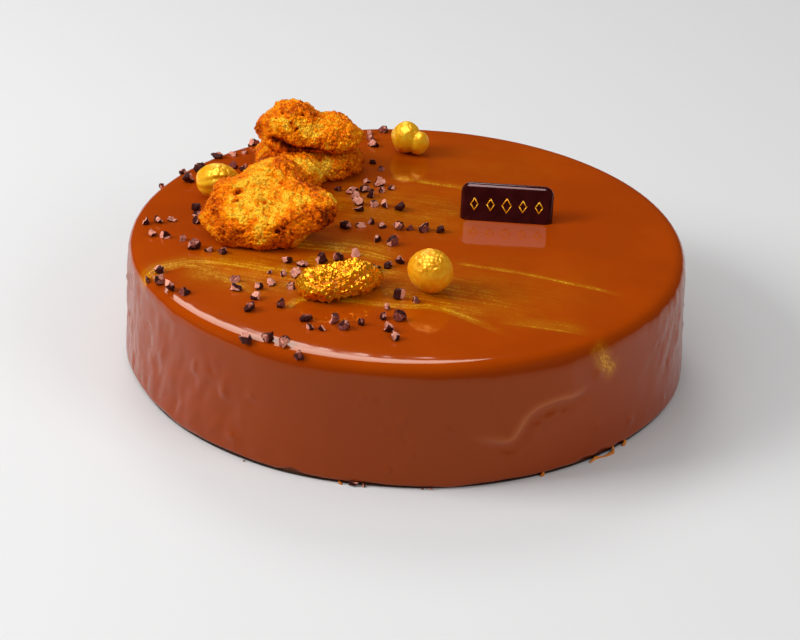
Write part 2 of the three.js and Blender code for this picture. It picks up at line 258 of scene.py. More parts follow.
class Value:
    """A shader socket that takes part in Python arithmetic."""

    def __init__(self, recipe: "Recipe", socket: bpy.types.NodeSocket) -> None:
        """Keeps the socket and the recipe that it belongs to."""
        self.recipe = recipe
        self.socket = socket

    def maths(self, operation: str, first: "Value | float", second: "Value | float") -> "Value":
        """One Math node on two operands."""
        return self.recipe.node("ShaderNodeMath", {"operation": operation}, {0: first, 1: second})

    def __add__(self, other: "Value | float") -> "Value":
        """Sum."""
        return self.maths("ADD", self, other)

    def __radd__(self, other: float) -> "Value":
        """Sum with a number on the left."""
        return self.maths("ADD", other, self)

    def __sub__(self, other: "Value | float") -> "Value":
        """Difference."""
        return self.maths("SUBTRACT", self, other)

    def __rsub__(self, other: float) -> "Value":
        """Difference from a number on the left."""
        return self.maths("SUBTRACT", other, self)

    def __mul__(self, other: "Value | float") -> "Value":
        """Product."""
        return self.maths("MULTIPLY", self, other)

    def __rmul__(self, other: float) -> "Value":
        """Product with a number on the left."""
        return self.maths("MULTIPLY", other, self)

    def step(self, low: float, high: float) -> "Value":
        """Smooth step from 0 at low to 1 at high."""
        inputs = {"Value": self, "From Min": low, "From Max": high}
        return self.recipe.node("ShaderNodeMapRange", {"interpolation_type": "SMOOTHSTEP"}, inputs)

    def onto(self, low: float, high: float) -> "Value":
        """The value carried from 0 to 1 onto low to high."""
        return low + (high - low) * self

    def held(self) -> "Value":
        """The value kept from 0 to 1."""
        return self.recipe.node("ShaderNodeClamp", {}, {"Value": self})


class Recipe:
    """The node tree of one material, written as expressions."""

    def __init__(self, name: str) -> None:
        """Makes an empty material.

        Args:
            name: what the material is called.
        """
        self.material = bpy.data.materials.new(name)
        self.material.use_nodes = True
        self.tree = self.material.node_tree
        self.tree.nodes.clear()

    def node(self, kind: str, settings: dict, inputs: dict, output: int | str = 0) -> Value:
        """Adds one node.

        Args:
            kind: the node's type.
            settings: its own properties, set first; stops are a colour ramp's places and colours.
            inputs: a value, or a Value to link, for each of its sockets.
            output: the socket to hand back.

        Returns:
            That output.
        """
        made = self.tree.nodes.new(kind)
        for name, setting in settings.items():
            if name == "stops":
                self.set_stops(made.color_ramp, setting)
            else:
                setattr(made, name, setting)
        for key, given in inputs.items():
            if isinstance(given, Value):
                self.tree.links.new(given.socket, made.inputs[key])
            else:
                made.inputs[key].default_value = given
        return Value(self, made.outputs[output])

    @staticmethod
    def set_stops(ramp: bpy.types.ColorRamp, stops: list[tuple[float, Colour]]) -> None:
        """Puts colours on a ramp.

        Args:
            ramp: the ramp to fill.
            stops: places from 0 to 1, each with its colour.
        """
        while len(ramp.elements) < len(stops):
            ramp.elements.new(1.0)
        for element, (place, colour) in zip(ramp.elements, stops):
            element.position = place
            element.color = rgba(colour)

    def places(self) -> Value:
        """Where the surface is, in millimetres."""
        metres = self.node("ShaderNodeTexCoord", {}, {}, "Object")
        return self.stretched(metres, (1 / MM, 1 / MM, 1 / MM))

    def stretched(self, vector: Value, by: Point) -> Value:
        """A vector with each of its axes scaled."""
        return self.node("ShaderNodeVectorMath", {"operation": "MULTIPLY"}, {0: vector, 1: by})

    def stored(self, name: str, output: str = "Fac") -> Value:
        """A value kept on the mesh under that name."""
        settings = {"attribute_name": name, "attribute_type": "GEOMETRY"}
        return self.node("ShaderNodeAttribute", settings, {}, output)

    def noise(self, vector: Value, size: float, detail: float = 2.0) -> Value:
        """Noise from 0 to 1 whose hills are that far apart."""
        return self.node("ShaderNodeTexNoise", {}, {"Vector": vector, "Scale": 1 / size, "Detail": detail})

    def cells(self, vector: Value, size: float, output: str) -> Value:
        """One output of many small cells that lie that far apart."""
        inputs = {"Vector": vector, "Scale": 1 / size}
        return self.node("ShaderNodeTexVoronoi", {"feature": "F1"}, inputs, output)

    def flecks(self, vector: Value, size: float) -> Value:
        """A fixed number from 0 to 1 for each of many small cells."""
        return self.node("ShaderNodeSeparateColor", {}, {"Color": self.cells(vector, size, "Color")})

    def pebbles(self, vector: Value, size: float) -> Value:
        """How far the surface lies from the middle of the nearest of many small cells."""
        return self.cells(vector, size, "Distance")

    def blend(self, share: Value | float, first: Value | Colour, second: Value | Colour) -> Value:
        """A colour between two others.

        Args:
            share: 0 for the first, 1 for the second.
            first: a colour, or the Value of one.
            second: a colour, or the Value of one.

        Returns:
            The mixed colour.
        """
        ends = [end if isinstance(end, Value) else rgba(end) for end in (first, second)]
        return self.node("ShaderNodeMix", {"data_type": "RGBA"}, {0: share, 6: ends[0], 7: ends[1]}, 2)

    def ramp(self, share: Value, stops: list[tuple[float, Colour]]) -> Value:
        """A colour picked from a row of colours."""
        return self.node("ShaderNodeValToRGB", {"stops": stops}, {"Fac": share})

    def bump(self, height: Value, depth: float) -> Value:
        """A normal that follows a relief of that depth in millimetres."""
        return self.node("ShaderNodeBump", {}, {"Height": height, "Distance": depth * MM, "Strength": 1.0})

    def done(self, inputs: dict) -> bpy.types.Material:
        """Closes the recipe with a principled surface.

        Args:
            inputs: what goes into the surface's sockets.

        Returns:
            The finished material.
        """
        surface = self.node("ShaderNodeBsdfPrincipled", {}, inputs)
        output = self.tree.nodes.new("ShaderNodeOutputMaterial")
        self.tree.links.new(surface.socket, output.inputs["Surface"])
        return self.material


@dataclass(frozen=True)
class GlazeFinish:
    """Caramel mirror glaze, rougher down the wall and painted darker there as shade, with gold dust brushed
    over it, a painted sheen along the crease and a painted shadow in the foot.
    """

    name: str = "caramel_glaze"
    colour: Colour = (0.42, 0.056, 0.0004)
    shade: Colour = (0.38, 0.049, 0.0004)
    # Painted shade: the darker colour that the shoulder and the wall are given.
    wall: Colour = (0.262, 0.030, 0.0006)
    # Painted sheen: the paler colour along the overhang of the crease.
    crease_sheen: Colour = (0.42, 0.105, 0.030)
    # Painted shadow: near-black colour of the foot under the lip.
    foot_shadow: Colour = (0.018, 0.003, 0.001)
    gilt: Colour = (0.52, 0.19, 0.003)
    bright_gilt: Colour = (0.72, 0.35, 0.012)
    tint: Colour = (1.0, 0.68, 0.40)
    ior: float = 1.49
    roughness: float = 0.05
    wall_roughness: float = 0.22
    gilt_roughness: float = 0.09
    tone_size: float = 26.0
    tone_span: Span = (0.35, 0.65)
    streak_length: float = 22.0
    streak_width: float = 1.3
    streak_span: Span = (0.34, 0.66)
    streak_dust: Span = (0.6, 1.1)
    patch_size: float = 8.0
    patch_span: Span = (0.30, 0.62)
    patch_dust: Span = (0.6, 1.15)
    grit_size: float = 0.35
    grit_dust: Span = (0.55, 1.35)
    leaf_span: Span = (0.10, 0.55)

    def gold_dust(self, recipe: Recipe, places: Value) -> tuple[Value, Value]:
        """The gold dust that lies over the glaze.

        Args:
            recipe: the glaze's recipe.
            places: where the surface is.

        Returns:
            How much of the glaze the dust hides, and the dust's own colour.
        """
        flow = recipe.stored("gilt_flow", "Vector")
        brushed = recipe.stretched(flow, (1 / self.streak_length, 1 / self.streak_width, 1.0))
        streaks = recipe.noise(brushed, 1.0, 3.0).step(*self.streak_span)
        patches = recipe.noise(places, self.patch_size).step(*self.patch_span)
        grit = recipe.flecks(places, self.grit_size)
        dust = recipe.stored("gilt") * streaks.onto(*self.streak_dust) * grit.onto(*self.grit_dust)
        dust = dust * patches.onto(*self.patch_dust)
        leaf = recipe.blend((streaks * grit * dust).step(*self.leaf_span), self.gilt, self.bright_gilt)
        return dust.held(), leaf

    def material(self) -> bpy.types.Material:
        """Mixes the glaze's material.

        Returns:
            The finished material.
        """
        recipe = Recipe(self.name)
        places = recipe.places()
        wall = recipe.stored("wall")
        tone = recipe.noise(places, self.tone_size, 3.0).step(*self.tone_span)
        # Painted shade: the wall attribute turns the glaze towards the darker wall colour down the shoulder
        # and the wall.
        poured = recipe.blend(wall, recipe.blend(tone, self.shade, self.colour), self.wall)
        # Painted sheen: a paler colour along the overhang of the crease.
        glaze = recipe.blend(recipe.stored("crease_sheen"), poured, self.crease_sheen)
        # Painted shadow: the foot under the lip is turned near black.
        base = recipe.blend(recipe.stored("foot"), glaze, self.foot_shadow)
        share, leaf = self.gold_dust(recipe, places)
        satin = wall.onto(self.roughness, self.wall_roughness)
        return recipe.done(
            {
                "Base Color": recipe.blend(share, base, leaf),
                "Roughness": (satin + self.gilt_roughness * share).held(),
                "IOR": self.ior,
                "Specular Tint": rgba(self.tint),
            }
        )


@dataclass(frozen=True)
class HoneycombFinish:
    """Crumbly caramelised sugar, pale where it broke and toasted at its edges, with painted shade in its
    crevices and hollows and painted glints on a few crumbs.
    """

    # Colour of the painted glints on a few crumbs.
    glint_paint: Colour = (1.0, 0.58, 0.05)
    cream: Colour = (1.0, 0.53, 0.03)
    pale: Colour = (1.0, 0.315, 0.004)
    amber: Colour = (0.90, 0.182, 0.0015)
    brown: Colour = (0.48, 0.056, 0.001)
    # Darkest colour, for burnt sugar and for deep painted shade.
    burnt_and_shaded: Colour = (0.10, 0.008, 0.001)
    tint: Colour = (1.0, 0.60, 0.07)
    ior: float = 1.2
    roughness: float = 0.46
    glint_roughness: float = 0.14
    lustre: float = 0.3
    mottle_size: float = 2.4
    grain_size: float = 0.9
    crumb_size: float = 0.45
    mottle_toast: float = 1.35
    grain_toast: float = 0.14
    # Painted shade: how much darker each crumb grows towards its edges.
    crevice_shade: float = 0.30
    cleft_middle: float = 0.42
    painted_glint_share: float = 0.7
    painted_glint_span: Span = (0.88, 0.95)
    glint_span: Span = (0.5, 0.7)
    relief_size: float = 0.7
    relief_depth: float = 0.55
    noise_relief: float = 0.8
    cleft_relief: float = 0.6
    crumb_relief: float = 0.3

    def toast_and_shade_colour(self, recipe: Recipe, toast_and_shade: Value) -> Value:
        """The colour of the sugar, from cream to burnt, its darker end also painting shade.

        Args:
            recipe: the honeycomb's recipe.
            toast_and_shade: how brown the sugar is, with painted shade added.

        Returns:
            The colour.
        """
        stops = [
            (0.0, self.cream),
            (0.16, self.pale),
            (0.42, self.amber),
            (0.72, self.brown),
            (1.0, self.burnt_and_shaded),
        ]
        return recipe.ramp(toast_and_shade.held(), stops)

    def material(self) -> bpy.types.Material:
        """Mixes the honeycomb's material.

        Returns:
            The finished material.
        """
        recipe = Recipe("honeycomb_toffee")
        places = recipe.places()
        grains = recipe.flecks(places, self.grain_size)
        crumbs = recipe.flecks(places, self.crumb_size)
        mottle = recipe.noise(places, self.mottle_size, 4.0)
        clefts = recipe.pebbles(places, self.grain_size)
        speckle = self.mottle_toast * (mottle - 0.5) + self.grain_toast * (grains - 0.5)
        # Painted shade: darker towards the edges of each crumb, in the crevices between them.
        speckle = speckle + self.crevice_shade * (clefts - self.cleft_middle)
        toast_and_shade = recipe.stored("toast_and_shade") + speckle
        # Painted glints: a few crumbs, where the sugar is pale, are painted bright as glints of light.
        painted_glints = self.painted_glint_share * crumbs.step(*self.painted_glint_span) * (1 - toast_and_shade).held()
        glints = crumbs.step(*self.glint_span)
        relief = self.noise_relief * recipe.noise(places, self.relief_size, 3.0)
        relief = relief - self.cleft_relief * clefts + self.crumb_relief * crumbs
        return recipe.done(
            {
                "Base Color": recipe.blend(painted_glints, self.toast_and_shade_colour(recipe, toast_and_shade), self.glint_paint),
                "Roughness": glints.onto(self.roughness, self.glint_roughness),
                "Metallic": self.lustre,
                "IOR": self.ior,
                "Specular Tint": rgba(self.tint),
                "Normal": recipe.bump(relief, self.relief_depth),
            }
        )


@dataclass(frozen=True)
class GoldFinish:
    """Edible gold brushed over a nut or a crumbly piece, browned to its bare colour where it is worn, and
    with painted shade in its hollows and near its foot.
    """

    name: str
    gold: Colour = (0.97, 0.35, 0.003)
    pale: Colour = (1.0, 0.49, 0.014)
    # Brown of worn gold, also used as painted shade.
    bare_and_shaded: Colour = (0.58, 0.13, 0.002)
    tint: Colour = (1.0, 0.70, 0.19)
    ior: float = 2.1
    roughness: float = 0.33
    worn_roughness: float = 0.15
    metal: float = 0.2
    metal_wear: float = 0.8
    blotch: float = 0.2
    blotch_size: float = 1.6
    pale_span: Span = (0.35, 0.7)
    wear_and_shade_span: Span = (0.30, 0.80)
    grain: float = 0.8
    grain_depth: float = 0.05

    def material(self) -> bpy.types.Material:
        """Mixes the gold's material.

        Returns:
            The finished material.
        """
        recipe = Recipe(self.name)
        places = recipe.places()
        mottle = recipe.noise(places, self.blotch_size, 4.0)
        uneven = self.blotch * (mottle - 0.5)
        # Painted shade: the wear_and_shade attribute carries wear and painted shade, which turn the gold
        # toward its bare colour.
        wear_and_shade = (recipe.stored("wear_and_shade") + uneven).step(*self.wear_and_shade_span)
        leaf = recipe.blend(mottle.step(*self.pale_span), self.gold, self.pale)
        return recipe.done(
            {
                "Base Color": recipe.blend(wear_and_shade, leaf, self.bare_and_shaded),
                "Roughness": (self.roughness + uneven + self.worn_roughness * wear_and_shade).held(),
                "Metallic": self.metal * (1 - self.metal_wear * wear_and_shade),
                "IOR": self.ior,
                "Specular Tint": rgba(self.tint),
                "Normal": recipe.bump(recipe.noise(places, self.grain, 3.0), self.grain_depth),
            }
        )


@dataclass(frozen=True)
class NibFinish:
    """Broken cacao nibs: near-black skin and dusty, rosy-brown breaks."""

    skin: Colour = (0.050, 0.011, 0.009)
    break_dark: Colour = (0.20, 0.042, 0.032)
    break_pale: Colour = (0.86, 0.37, 0.26)
    tint: Colour = (1.0, 0.62, 0.52)
    ior: float = 1.2
    roughness: float = 0.62
    skin_roughness: float = 0.32
    mottle_size: float = 0.8
    tone_mottle: float = 1.3
    tone_span: Span = (0.0, 0.85)
    skin_mottle: float = 0.7
    skin_span: Span = (0.42, 0.62)
    grain_size: float = 0.45
    grain_depth: float = 0.20

    def material(self) -> bpy.types.Material:
        """Mixes the nibs' material.

        Returns:
            The finished material.
        """
        recipe = Recipe("cacao_nib")
        places = recipe.places()
        mottle = recipe.noise(places, self.mottle_size, 4.0)
        tone = recipe.stored("tone") + self.tone_mottle * (mottle - 0.5)
        broken = recipe.blend(tone.step(*self.tone_span), self.break_dark, self.break_pale)
        skin = (recipe.stored("skin") + self.skin_mottle * (mottle - 0.5)).step(*self.skin_span)
        return recipe.done(
            {
                "Base Color": recipe.blend(skin, broken, self.skin),
                "Roughness": skin.onto(self.roughness, self.skin_roughness),
                "IOR": self.ior,
                "Specular Tint": rgba(self.tint),
                "Normal": recipe.bump(recipe.noise(places, self.grain_size, 3.0), self.grain_depth),
            }
        )


@dataclass(frozen=True)
class ChocolateFinish:
    """Cast dark chocolate with a polished face."""

    colour: Colour = (0.030, 0.0026, 0.0026)
    bloom: Colour = (0.044, 0.0046, 0.0046)
    tint: Colour = (1.0, 0.66, 0.66)
    roughness: float = 0.11
    uneven: float = 0.08
    bloom_size: float = 5.0
    bloom_span: Span = (0.35, 0.7)
    wave_size: float = 3.5
    wave_depth: float = 0.02

    def material(self) -> bpy.types.Material:
        """Mixes the chocolate's material.

        Returns:
            The finished material.
        """
        recipe = Recipe("cast_chocolate")
        places = recipe.places()
        mottle = recipe.noise(places, self.bloom_size, 3.0)
        return recipe.done(
            {
                "Base Color": recipe.blend(mottle.step(*self.bloom_span), self.colour, self.bloom),
                "Roughness": self.roughness + self.uneven * (mottle - 0.5),
                "Specular Tint": rgba(self.tint),
                "Normal": recipe.bump(recipe.noise(places, self.wave_size), self.wave_depth),
            }
        )


@dataclass(frozen=True)
class FloorFinish:
    """Plain pale floor."""

    colour: Colour = (0.78, 0.78, 0.78)
    shading: float = 0.97
    tone_size: float = 300.0
    roughness: float = 0.7

    def material(self) -> bpy.types.Material:
        """Mixes the floor's material.

        Returns:
            The finished material.
        """
        recipe = Recipe("pale_floor")
        tone = recipe.noise(recipe.places(), self.tone_size)
        shade = tuple(self.shading * part for part in self.colour)
        return recipe.done(
            {"Base Color": recipe.blend(tone, shade, self.colour), "Roughness": self.roughness}
        )


def add_piece(
    name: str, mesh: bpy.types.Mesh, material: bpy.types.Material, node: str | None
) -> bpy.types.Object:
    """Puts a finished mesh on the cake.

    Args:
        name: the piece's name.
        mesh: its mesh, in metres.
        material: its finish.
        node: the solid that the piece stands for, if it stands for one.

    Returns:
        The new piece.
    """
    mesh.name = name
    mesh.materials.clear()
    mesh.materials.append(material)
    piece = bpy.data.objects.new(name, mesh)
    bpy.context.scene.collection.objects.link(piece)
    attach(piece, BODY)
    if node:
        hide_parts(node)
    log.info("%s: %d faces", name, len(mesh.polygons))
    return piece


def new_mesh(points: np.ndarray, faces: list[Face]) -> bpy.types.Mesh:
    """A smooth-shaded mesh from millimetre points.

    Args:
        points: corner places, one row each.
        faces: corner indices of each face.

    Returns:
        The mesh, in metres.
    """
    mesh = bpy.data.meshes.new("mesh")
    mesh.from_pydata(points * MM, [], faces)
    mesh.shade_smooth()
    return mesh


def mesh_points(mesh: bpy.types.Mesh) -> np.ndarray:
    """Corner places of a mesh.

    Args:
        mesh: the mesh, in metres.

    Returns:
        One row for each corner, in millimetres.
    """
    flat = np.empty(len(mesh.vertices) * 3)
    mesh.vertices.foreach_get("co", flat)
    return flat.reshape(-1, 3) / MM


def mesh_normals(mesh: bpy.types.Mesh) -> np.ndarray:
    """The direction that each corner of a mesh faces.

    Args:
        mesh: the mesh.

    Returns:
        One row for each corner.
    """
    flat = np.empty(len(mesh.vertices) * 3)
    mesh.vertices.foreach_get("normal", flat)
    return flat.reshape(-1, 3)


def move_points(mesh: bpy.types.Mesh, points: np.ndarray) -> None:
    """Puts the corners of a mesh at new places, given in millimetres."""
    mesh.vertices.foreach_set("co", (points * MM).ravel())
    mesh.update()


def store(mesh: bpy.types.Mesh, name: str, values: np.ndarray) -> None:
    """Keeps one number for each corner of a mesh.

    Args:
        mesh: the mesh.
        name: what the shader calls the numbers.
        values: one number, or one row of three, for each corner.
    """
    kind, key = ("FLOAT", "value") if values.ndim == 1 else ("FLOAT_VECTOR", "vector")
    attribute = mesh.attributes.new(name, kind, "POINT")
    attribute.data.foreach_set(key, values.astype(np.float32).ravel())


def fine_copy(node: str, levels: int) -> bpy.types.Mesh:
    """A smooth copy of a solid with many more faces.

    Args:
        node: the solid's name.
        levels: how often each face is divided in four.

    Returns:
        The copy's mesh.
    """
    source = bpy.data.objects.new("copy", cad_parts[node].data.copy())
    bpy.context.scene.collection.objects.link(source)
    weld = source.modifiers.new("weld", "WELD")
    weld.merge_threshold = WELD_GAP * MM
    divide = source.modifiers.new("divide", "SUBSURF")
    divide.levels = levels
    mesh = bpy.data.meshes.new_from_object(source.evaluated_get(bpy.context.evaluated_depsgraph_get()))
    bpy.data.objects.remove(source)
    mesh.shade_smooth()
    return mesh


def loop_faces(loops: int, count: int, first: int = 0) -> list[Face]:
    """Faces between closed loops of points.

    Args:
        loops: how many loops there are, each stored after the last.
        count: points in each loop.
        first: index of the first loop's first point.

    Returns:
        Corner indices of each face.
    """
    faces = []
    for near in range(first, first + (loops - 1) * count, count):
        far = near + count
        for here in range(count):
            after = (here + 1) % count
            faces.append((near + here, near + after, far + after, far + here))
    return faces


def round_points(bearing: np.ndarray, reach: np.ndarray | float, level: np.ndarray) -> np.ndarray:
    """Places round the cake.

    Args:
        bearing: angle of each from the front, to the right.
        reach: distance of each from the cake's axis.
        level: height of each.

    Returns:
        One row for each place.
    """
    return np.stack([reach * np.sin(bearing), -reach * np.cos(bearing), level], axis=1)


def noise_points(bearing: np.ndarray, level: np.ndarray) -> np.ndarray:
    """Places on a plain upright wall, where the noise on the real one is read.

    Args:
        bearing: angle of each from the front, to the right.
        level: height of each.

    Returns:
        One row for each place.
    """
    return np.stack([CAKE_RADIUS * np.sin(bearing), CAKE_RADIUS * np.cos(bearing), level], axis=1)


@dataclass(frozen=True)
class WallRelief:
    """Ripples, wrinkles, pimples and the one crease that the glaze on the wall dried with.

    Bearings are angles from the front, to the right. The crease runs through lengths of arc and heights.
    """

    seed: int = 5
    front_waves: float = 0.35
    left_waves: float = 0.65
    left_span: Span = (-0.1, 0.8)
    right_waves: float = 0.6
    right_span: Span = (0.6, 1.0)
    ripple: Wave = Wave(0.24, 10.0)
    ripple_squash: Point = (1.0, 1.0, 0.7)
    wrinkle: Wave = Wave(0.5, 4.6)
    wrinkle_slant: float = 0.35
    wrinkle_stretch: float = 0.6
    wrinkle_span: Span = (0.5, 0.9)
    patch: Wave = Wave(1.0, 15.0, 1)
    patch_shift: float = 40.0
    patch_span: Span = (-0.2, 0.5)
    rag: Wave = Wave(0.3, 2.6)
    rag_squash: Point = (1.0, 1.0, 0.45)
    left_rag_span: Span = (0.82, 0.97)
    right_rags: float = 0.7
    right_rag_span: Span = (0.85, 0.98)
    dimple: Wave = Wave(0.05, 5.0, 1)
    pimples: int = 60
    pimple_levels: Span = (5.0, 31.0)
    pimple_sizes: Span = (0.8, 1.7)
    pimple_heights: Point = (-0.25, 0.35, 0.5)
    crease: Trail = Trail(
        (
            (17.0, 18.0),
            (25.0, 15.6),
            (32.7, 14.1),
            (36.0, 16.8),
            (38.4, 20.8),
            (42.3, 23.6),
            (49.0, 24.6),
            (55.0, 24.5),
            (62.0, 26.1),
        )
    )
    crease_onset: float = 0.45
    crease_end: float = 0.8
    fold_depth: float = 1.3
    fold_edge: Span = (-1.1, 0.9)
    fold_reach: float = 8.0
    gutter_depth: float = 0.5
    gutter_drop: float = 2.2
    gutter_reach: float = 2.0
    pucker: Wave = Wave(0.3, 3.0, 1)
    pucker_squash: Point = (1.0, 1.0, 1.4)
    pucker_drop: float = 4.5
    pucker_reach: float = 4.0
    # Painted sheen along the crease: its strength, its rise over the crease line and its reach.
    sheen_share: float = 0.8
    sheen_rise: float = 0.4
    sheen_reach: float = 1.5

    def height(self, bearing: np.ndarray, level: np.ndarray) -> np.ndarray:
        """How far each point of the wall stands out."""
        return self.waves(bearing, level) + self.spots(bearing, level) + self.fold(bearing, level)

    def waves(self, bearing: np.ndarray, level: np.ndarray) -> np.ndarray:
        """Ripples all round, with slanted wrinkles and a ragged skin towards the sides.

        Args:
            bearing: angle of each point.
            level: height of each point.

        Returns:
            How far each point stands out.
        """
        ring = noise_points(bearing, level)
        right = np.sin(bearing)
        lively = self.front_waves + self.left_waves * ease(-right, *self.left_span)
        lively += self.right_waves * ease(right, *self.right_span)
        across = bearing * CAKE_RADIUS - self.wrinkle_slant * level
        slanted = np.stack([across, self.wrinkle_stretch * level, np.zeros(len(level))], axis=1)
        patchy = ease(self.patch.over(ring + self.patch_shift, self.seed), *self.patch_span)
        ragged = ease(-right, *self.left_rag_span) + self.right_rags * ease(right, *self.right_rag_span)
        height = lively * self.ripple.over(ring * self.ripple_squash, self.seed)
        height += patchy * ease(lively, *self.wrinkle_span) * self.wrinkle.over(slanted, self.seed)
        height += ragged * self.rag.over(ring * self.rag_squash, self.seed)
        return height + self.dimple.over(ring, self.seed)

    def spots(self, bearing: np.ndarray, level: np.ndarray) -> np.ndarray:
        """Small pimples and pits at random places.

        Args:
            bearing: angle of each point.
            level: height of each point.

        Returns:
            How far each point stands out.
        """
        draw = np.random.default_rng(self.seed)
        height = np.zeros(len(level))
        for _ in range(self.pimples):
            at = draw.uniform(-math.pi, math.pi)
            rise = draw.uniform(*self.pimple_levels)
            size = draw.uniform(*self.pimple_sizes)
            tall = draw.choice(self.pimple_heights)
            height += tall * bell(np.hypot((bearing - at) * CAKE_RADIUS, level - rise), size)
        return height

    def by_crease(self, bearing: np.ndarray, level: np.ndarray) -> tuple[np.ndarray, np.ndarray]:
        """How points lie to the crease.

        Args:
            bearing: angle of each point.
            level: height of each point.

        Returns:
            Distance above the crease, and how much of the crease is felt there.
        """
        offset, along, length = self.crease.nearest(np.stack([bearing * CAKE_RADIUS, level], axis=1))
        felt = ease(along, 0.0, self.crease_onset * length)
        return offset, felt * (1.0 - ease(along, self.crease_end * length, length))

    def fold(self, bearing: np.ndarray, level: np.ndarray) -> np.ndarray:
        """The crease: a fold that hangs over a gutter, puckered below.

        Args:
            bearing: angle of each point.
            level: height of each point.

        Returns:
            How far each point stands out.
        """
        offset, felt = self.by_crease(bearing, level)
        puckers = self.pucker.over(noise_points(bearing, level) * self.pucker_squash, self.seed)
        above = np.exp(-np.maximum(offset, 0.0) / self.fold_reach)
        fold = self.fold_depth * ease(offset, *self.fold_edge) * above
        fold -= self.gutter_depth * bell(offset + self.gutter_drop, self.gutter_reach)
        fold += puckers * bell(offset + self.pucker_drop, self.pucker_reach)
        return felt * fold

    def crease_sheen_share(self, bearing: np.ndarray, level: np.ndarray) -> np.ndarray:
        """How much painted sheen lies along the overhang of the crease, from 0 to 1."""
        offset, felt = self.by_crease(bearing, level)
        return self.sheen_share * felt * bell(offset - self.sheen_rise, self.sheen_reach)


@dataclass(frozen=True)
class GiltStroke:
    """One stroke of a brush with gold dust, crisp on the right of its line and feathered on the left."""

    trail: Trail
    width: float
    strength: float
    fade: float = 0.35
    crisp: float = 0.35
    feather: float = 1.7
    onset: float = 0.08
    least_onset: float = 0.1

    def lay(self, points: np.ndarray) -> tuple[np.ndarray, np.ndarray, np.ndarray]:
        """Brushes the dust on.

        Args:
            points: places on the glaze, one row each.

        Returns:
            How much dust lies there, and its place along and across the stroke.
        """
        offset, along, length = self.trail.nearest(points)
        ends = ease(along, 0.0, self.onset * length + self.least_onset)
        ends *= 1.0 - ease(along, (1.0 - self.fade) * length, length)
        edge = self.width * np.where(offset < 0.0, self.crisp, self.feather)
        return self.strength * ends * bell(offset, edge), along, offset


def on_top(*spots: tuple[float, float]) -> Trail:
    """A line drawn on the cake's top."""
    return Trail(tuple((across, along, TOP_LEVEL) for across, along in spots))


@dataclass(frozen=True)
class GoldDust:
    """All strokes of gold dust on the glaze: on the top, and one that runs over the shoulder."""

    overlap: float = 0.35
    stroke_shift: float = 57.0
    over_shoulder: Trail = Trail(((56.5, -68, 39), (60.2, -67.8, 33.6), (62.3, -66, 30), (65, -63.5, 25)))

    def strokes(self) -> tuple[GiltStroke, ...]:
        """The strokes, in the order that they were brushed on.

        Returns:
            All strokes, from the left of the top to its back.
        """
        return (
            GiltStroke(on_top((-81, -41), (-79, -34), (-74, -28), (-60, -25), (-23, -35)), 2.0, 1.1),
            GiltStroke(on_top((-79, -40), (-74, -31), (-66, -29), (-48, -44), (-40, -52)), 1.5, 0.8),
            GiltStroke(on_top((-72, -27), (-36, -38), (0, -42), (30, -50), (54, -60)), 11.0, 0.5, crisp=0.8),
            GiltStroke(on_top((-36, -57), (-29, -48), (-1, -51), (11, -52), (35, -71)), 1.5, 0.9),
            GiltStroke(on_top((-38, -10), (-21, -13), (-12, -16), (-1, -22)), 5.5, 0.85),
            GiltStroke(on_top((-34, -22), (-14, -27), (6, -33)), 4.0, 0.55),
            GiltStroke(on_top((14, -19), (38, -26), (58, -34), (72, -41)), 0.9, 0.8),
            GiltStroke(on_top((8, -32), (40, -38), (66, -46)), 13.0, 0.14, crisp=1.2),
            GiltStroke(on_top((22, -57), (42, -61), (58, -65)), 3.2, 0.6, onset=0.5),
            GiltStroke(self.over_shoulder, 2.3, 0.75, crisp=1.0, feather=1.3),
            GiltStroke(on_top((-7, 44), (1, 42.5), (14, 38.5), (28, 35)), 1.6, 0.7),
            GiltStroke(on_top((-20, 60), (20, 56), (60, 44)), 14.0, 0.12, crisp=1.2),
            GiltStroke(on_top((-30, 22), (-4, 17), (28, 8)), 12.0, 0.42, crisp=1.1),
        )

    def lay(self, points: np.ndarray) -> tuple[np.ndarray, np.ndarray]:
        """Brushes all strokes on.

        Args:
            points: places on the glaze, one row each.

        Returns:
            How much dust lies there, and its place along and across its strongest stroke.
        """
        dust = np.zeros(len(points))
        flow = np.zeros((len(points), 3))
        for number, stroke in enumerate(self.strokes()):
            amount, along, across = stroke.lay(points)
            stronger = amount > dust
            flow[stronger, 0] = along[stronger] + self.stroke_shift * number
            flow[stronger, 1] = across[stronger]
            dust = np.maximum(dust, amount) + self.overlap * np.minimum(dust, amount)
        return dust, flow


